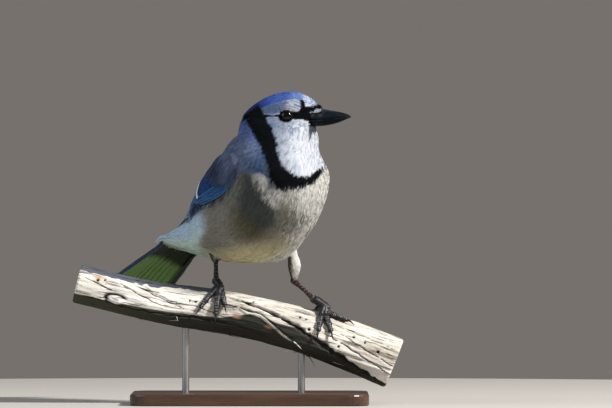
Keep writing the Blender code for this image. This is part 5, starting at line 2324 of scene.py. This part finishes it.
    def splinters(self, shell: Shell) -> None:
        """Adds thin slivers that stand off the cracks and the underside.

        Args:
            shell: The mesh to add to.
        """
        rng = np.random.default_rng(61)
        slivers = list(self.slivers)
        for _ in range(26):
            x = rng.uniform(-112, 96)
            angle = rng.uniform(-60, 110) if rng.random() < 0.6 else rng.uniform(110, 290)
            along = x + rng.uniform(3, 9) * rng.choice((-1, 1))
            end = (along, angle + rng.uniform(-6, 6), rng.uniform(0.3, 0.9))
            slivers.append(((x, angle, 0.0), end, rng.uniform(0.12, 0.26), rng.random()))
        for start, end, thick, pale in slivers:
            s = np.linspace(0, 1, 9)
            x, angle, lift = (start[i] + (end[i] - start[i]) * s for i in range(3))
            path = self.branch.point(x * MM, np.radians(angle), (lift * s - 0.1) * MM)
            rings, _ = sweep(path, thick * MM * (1 - s**2 * 0.92), 6, np.array([0.1, 0.9, 0.3]))
            wood, grain = layer(pale, 0, 0, 0), layer(rings[..., 0], rings[..., 2], 0, 0)
            shell.grid(rings, closed=True, flip=True, window=(0.01, 0.975, 0.99, 0.99), wood=wood,
                       grain=grain)

    def build(self) -> Piece:
        """Makes the branch's one mesh.

        Returns:
            The piece.
        """
        x = np.linspace(self.branch.left, self.branch.right, self.stations)
        angle = turns(self.corners) - math.pi / 2
        grid_x, grid_a = np.meshgrid(x, angle, indexing="ij")
        rise, silver_and_lit, dark, rust = self.relief(grid_x, grid_a)
        bevel = 0.7 * (smooth(1.2, 0.0, grid_x - x[0]) + smooth(1.2, 0.0, x[-1] - grid_x))
        points = self.branch.point(grid_x * MM, grid_a, (rise - bevel) * MM)
        shell = Shell("branch")
        _, _, radius = self.branch.middle(grid_x * MM)
        turn = np.degrees(grid_a)
        # The bird's painted shadow along the top of the branch, left of the feet
        shade_line = np.interp(grid_x, *self.bird_shadow)
        bird_shadow = smooth(-5, 3, turn - shade_line + 8 * Lattice(58)(points, 4.0 * MM))
        bird_shadow = bird_shadow * smooth(128, 104, turn) * smooth(-22, -27, grid_x)
        bird_shadow = bird_shadow * np.interp(grid_x, (-100, -30), (1.0, 0.72))
        grain = layer(grid_x * MM, np.abs(grid_a - math.pi / 2) * radius, 0.0, bird_shadow)
        wood = layer(silver_and_lit, dark, rust, 0.0)
        shell.grid(points, closed=True, window=(0.01, 0.01, 0.99, 0.89), wood=wood, grain=grain)
        self.ends(shell, points[0], x[0] * MM)
        self.ends(shell, points[-1], x[-1] * MM)
        self.splinters(shell)
        return place_piece(shell.build(), DriftwoodFinish().build(), "dry_wood", "perch", "perch_knot")


# Legs


@dataclass
class Leg:
    """A scaled tarsus and foot with four toes, and their claws, as the CAD has them.

    Lengths are in mm. Each toe has the X and the angle of its end, its thick and thin radius, and a claw's
    length. The first toe is the one that points back.
    """

    side: str
    branch: Branch
    heel: Spot
    ball: Spot
    toes: Outline
    warm: float
    tarsus_radii: Numbers = (2.5, 1.7, 1.6, 2.3)
    toe_radii: Outline = ((1.9, 1.3), (1.7, 1.15), (1.9, 1.2), (1.7, 1.1))
    claw_length: Numbers = (8.0, 6.4, 7.2, 6.2)
    gap: float = 0.3
    lands: float = 0.36

    def toe_path(self, toe: int) -> Array:
        """The middle line of a toe, from the ball of the foot down to the branch and round it.

        Args:
            toe: Its number, from 1.

        Returns:
            Points in metres.
        """
        at = np.array(self.ball) * MM
        end_x, end_angle = self.toes[toe - 1]
        radius = self.toe_radii[toe - 1][1] * MM
        start = math.radians(90 + (15 if toe == 1 else -10))
        clear = np.linalg.norm(at - self.branch.point(at[0], start))
        share = np.linspace(0, 1, 9)
        angle = start + (math.radians(end_angle) - start) * share
        fall = np.clip(1 - share / self.lands, 0, None) ** 2
        along = at[0] + (end_x * MM - at[0]) * share
        points = self.branch.point(along, angle, radius + 0.4 * MM + (clear - radius) * fall)
        points[0] = at
        return points

    def scaled(self, path: Array, radii: Array, up: Array, plates: float, pads: float,
               warm: float) -> tuple[Array, Array]:
        """Rings with overlapping plates on their front and pads or fine scales behind.

        Args:
            path: The middle line, in metres.
            radii: The radius at each of its points, in metres.
            up: The side that the plates are on.
            plates: How many plates there are.
            pads: How far the pads swell, as a share of the radius.
            warm: How reddish the skin is.

        Returns:
            The rings and their scute layer.
        """
        count = len(path) * 5
        share = np.linspace(0, len(path) - 1, count)
        line = Track(path).at(share)
        wide = Track(radii[:, None]).at(share)[:, 0]
        sides = 26
        turn = turns(sides)
        face = smooth(-0.15, 0.35, np.sin(turn))[None]
        s = np.linspace(0, 1, count)[:, None]
        saw = (s * plates + 0.12 * np.cos(turn)[None]) % 1
        plate = 0.10 * saw**1.5 * face
        swell = pads * np.abs(np.sin(s * math.pi * 3.5)) ** 2 * (1 - face)
        crease = 0.05 * np.sin(s * plates * 2 * math.pi * 1.9 + 4 * turn[None]) * (1 - face)
        rings, _ = sweep(line, wide[:, None] * (0.93 + plate + swell + crease), sides, up)
        # The plates' lower edges, which take a painted highlight
        edge = smooth(0.80, 1.0, saw) * face
        plate_spots = np.concatenate([np.floor(s * plates + 0.12), 0 * s, 0 * s], -1)
        lot = Lattice(71)(plate_spots, 1.37)[:, None] * 0.5 + 0.5
        scute = layer(edge, warm, 1 - face, lot)
        return rings, np.concatenate([scute[:1], scute, scute[-1:]])

    def foot(self, material: Material) -> Piece:
        """Makes the tarsus and the toes as one mesh.

        Args:
            material: The scales' finish.

        Returns:
            The piece.
        """
        shell = Shell(f"foot_scaled_{self.side}")
        heel, ball = np.array(self.heel) * MM, np.array(self.ball) * MM
        share = np.linspace(0, 1, 12)[:, None]
        radii = Track(np.array(self.tarsus_radii)[:, None]).at(np.linspace(0, 3, 12))[:, 0] * MM
        front = np.array([0.35, -0.9, 0.2])
        path = heel + (ball - heel) * share + np.sin(share * math.pi) * np.array([0.0, 0.5, 0.2]) * MM
        rings, scute = self.scaled(path, radii, front, plates=8.0, pads=0.05, warm=self.warm)
        shell.grid(rings, closed=True, flip=True, window=(0.01, 0.01, 0.19, 0.99), scute=scute)
        for toe, (thick, thin) in enumerate(self.toe_radii, 1):
            path = self.toe_path(toe)
            out = path - self.branch.middle(path[:, 0])[0]
            joints = 1 + 0.10 * np.cos(np.arange(len(path)) * math.pi)
            radii = np.linspace(thick, thin, len(path)) * 1.5 * MM * joints
            outward = np.repeat(unit(out), 5, 0)
            rings, scute = self.scaled(path, radii, outward, plates=15.0, pads=0.10, warm=0.08)
            window = (0.19 * toe + 0.01, 0.01, 0.19 * toe + 0.19, 0.99)
            shell.grid(rings, closed=True, flip=True, window=window, scute=scute)
        s = np.linspace(-1, 1, 16)
        core = ball + s[:, None] * np.array([0.0, -1.0, -0.3]) * 2.2 * MM
        round_ends = np.sqrt(np.clip(1 - s**2, 0.02, 1))
        rings, _ = sweep(core, 2.45 * MM * round_ends, 26, np.array([0.0, 0.2, 1.0]))
        scute = layer(0.2, 0.1, 0.3, 0.5)
        shell.grid(rings, closed=True, flip=True, window=(0.97, 0.01, 0.99, 0.99), scute=scute)
        return place_piece(shell.build(), material, "leg_black", f"tarsus_{self.side}", f"foot_{self.side}")

    def claw(self, toe: int, material: Material) -> Piece:
        """Makes one claw: an arched hook, deeper than it is wide.

        Args:
            toe: Its toe's number.
            material: Its horn.

        Returns:
            The piece.
        """
        path = self.toe_path(toe)
        ahead = unit(path[-1] - path[-2])
        radius = self.toe_radii[toe - 1][1] * 0.9 * MM
        clear = np.linalg.norm(path[-1] - self.branch.middle(path[-1, 0])[0])
        start, long = path[-1] + ahead * self.gap * MM, self.claw_length[toe - 1] * MM
        s = np.linspace(0, 1, 22)
        flat = start + ahead * (0.4 * MM + long * s[:, None])
        middle = self.branch.middle(flat[:, 0])[0]
        out = unit(flat - middle)
        fall = np.linalg.norm(flat - middle, axis=-1) - clear + (radius - 0.3 * MM)
        line = flat + out * (1.4 * MM * np.sin(math.pi * s) - fall * s)[:, None]
        line = np.concatenate([(start - ahead * 0.8 * MM)[None], start[None], line])
        wide = np.concatenate([[radius * 0.96, radius], radius + (0.16 * MM - radius) * s**1.2])
        out = np.concatenate([out[:1], out[:1], out])
        narrow = 1 - 0.2 * np.abs(np.cos(turns(20))) ** 2
        rings, turn = sweep(line, wide[:, None] * narrow[None], 20, out)
        shell = Shell(f"talon_{self.side}_{toe}")
        along = np.linspace(0, 1, len(rings))[:, None]
        horn = layer(along * 4, np.abs(turn / math.pi - 1) * 2, 0.35 * (1 - along), 0.0)
        shell.grid(rings, closed=True, flip=True, horn=horn)
        return place_piece(shell.build(), material, "claw_black", f"claw_{self.side}_{toe}")

    def build(self, scales: Material, horn: Material) -> None:
        """Makes the foot and its claws.

        Args:
            scales: The skin's finish.
            horn: The claws' finish.
        """
        self.foot(scales)
        for toe in range(1, 5):
            self.claw(toe, horn)


# Stand and studio


class StandPart(Enum):
    """The stand's CAD nodes, which keep their shape."""

    BASE = "stand_base"
    ROD_1 = "stand_rod_1"
    ROD_2 = "stand_rod_2"


@dataclass
class Stand:
    """The wooden base and the two steel rods, dressed in their finishes."""

    def build(self) -> None:
        """Gives each CAD node its material."""
        wood, steel = StainedWoodFinish().build(), SteelFinish().build()
        for part in StandPart:
            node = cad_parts[part.value]
            for slot in node.material_slots:
                slot.material = wood if part is StandPart.BASE else steel
            log.info("%s: CAD node dressed", part.value)


@dataclass
class Studio:
    """The camera, the pale floor and the soft lights. Places are in metres."""

    camera_at: Spot = (0.0392, -5.0, 0.140)
    sensor: float = 36.0
    view_width: float = 0.4284
    floor_radius: float = 0.75
    air: Colour = linear(170, 163, 156)
    air_strength: float = 0.45
    key_at: Spot = (1.84, -1.24, 1.70)
    key_size: float = 0.42
    key_power: float = 124.0
    key_colour: Colour = (1.0, 0.975, 0.94)
    fill_at: Spot = (-1.3, -0.45, 0.85)
    fill_size: float = 1.1
    fill_power: float = 9.0
    fill_colour: Colour = (0.72, 0.86, 1.0)
    aim: Spot = (0.0, -0.01, 0.13)

    def camera(self) -> None:
        """A long lens at the photograph's height and angle."""
        lens = bpy.data.cameras.new("view")
        lens.sensor_width = self.sensor
        lens.lens = self.sensor * -self.camera_at[1] / self.view_width
        lens.clip_end = 100.0
        view = bpy.data.objects.new("view", lens)
        view.location = self.camera_at
        view.rotation_euler = (math.pi / 2, 0.0, 0.0)
        bpy.context.scene.collection.objects.link(view)
        bpy.context.scene.camera = view

    def floor(self) -> None:
        """A round, pale floor."""
        shell = Shell("floor")
        reach = np.linspace(0.001, self.floor_radius, 10)[:, None]
        turn = turns(96)[None]
        points = np.stack([reach * np.cos(turn), reach * np.sin(turn), 0 * reach * turn], -1)
        shell.grid(points, closed=True, flip=True)
        floor = shell.build()
        floor.data.materials.append(FloorFinish().build())

    def light(self, name: str, at: Spot, size: float, power: float, colour: Colour) -> None:
        """A soft round light that faces the model.

        Args:
            name: Its name.
            at: Its place.
            size: Its width.
            power: Its power in watts.
            colour: Its colour.
        """
        lamp = bpy.data.lights.new(name, "AREA")
        lamp.size, lamp.energy, lamp.color = size, power, colour
        lamp.shape = "DISK"
        holder = bpy.data.objects.new(name, lamp)
        holder.location = at
        holder.rotation_euler = (Vector(self.aim) - Vector(at)).to_track_quat("-Z", "Y").to_euler()
        bpy.context.scene.collection.objects.link(holder)

    def build(self) -> None:
        """Makes the whole studio."""
        self.camera()
        self.floor()
        self.light("key", self.key_at, self.key_size, self.key_power, self.key_colour)
        self.light("fill", self.fill_at, self.fill_size, self.fill_power, self.fill_colour)
        world = bpy.data.worlds.new("air")
        world.use_nodes = True
        back = world.node_tree.nodes["Background"]
        back.inputs["Color"].default_value = (*self.air, 1.0)
        back.inputs["Strength"].default_value = self.air_strength
        bpy.context.scene.world = world
        bpy.context.scene.view_settings.view_transform = "Standard"


def main() -> None:
    """Builds the model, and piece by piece."""
    logging.basicConfig(level=logging.INFO, format="%(name)s %(message)s")
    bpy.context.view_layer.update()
    pose, branch = Pose(), Branch()
    form, wings = BodyForm(pose), WingPlan()
    Studio().build()
    CoatedBody(form, Plumage(), wings).build()
    vanes = VaneFinish().build()
    for side in ("right", "left"):
        Wing(side, form, wings).build(vanes)
    Tail(pose).build(vanes)
    Beak(pose).build()
    iris = EyeFinish().build()
    lid_colours = linear(4, 4, 6), linear(9, 8, 9), linear(20, 22, 26)
    lid = ScaleFinish("eyelid_skin", *lid_colours, count=2600.0, gloss=0.08).build()
    # The third colour is the pale painted highlight on the plates' edges
    scale_colours = linear(22, 26, 31), linear(64, 32, 28), linear(200, 202, 206)
    scales = ScaleFinish("leg_scales", *scale_colours).build()
    talon_colours = linear(20, 20, 22), linear(96, 92, 90)
    talon = HornFinish("claw_horn", *talon_colours, rough=0.32, lines=10.0, gloss=0.4).build()
    for side in ("right", "left"):
        Eye(pose, side).build(iris, lid)
    right = ((-26.5, 168.0), (-18.4, 20.0), (-23.4, -8.0), (-34.5, 6.0))
    left = ((37.0, 146.0), (46.8, 12.0), (54.6, 20.0), (61.5, 66.0))
    legs = (Leg("right", branch, heel=(-24.3, 18.6, 106.0), ball=(-23.6, -3.2, 86.0), toes=right, warm=0.15),
            Leg("left", branch, heel=(30.2, 20.2, 86.4), ball=(44.6, -6.0, 73.6), toes=left, warm=0.75))
    for leg in legs:
        leg.build(scales, talon)
    Perch(branch).build()
    Stand().build()


if __name__ == "__main__":
    main()
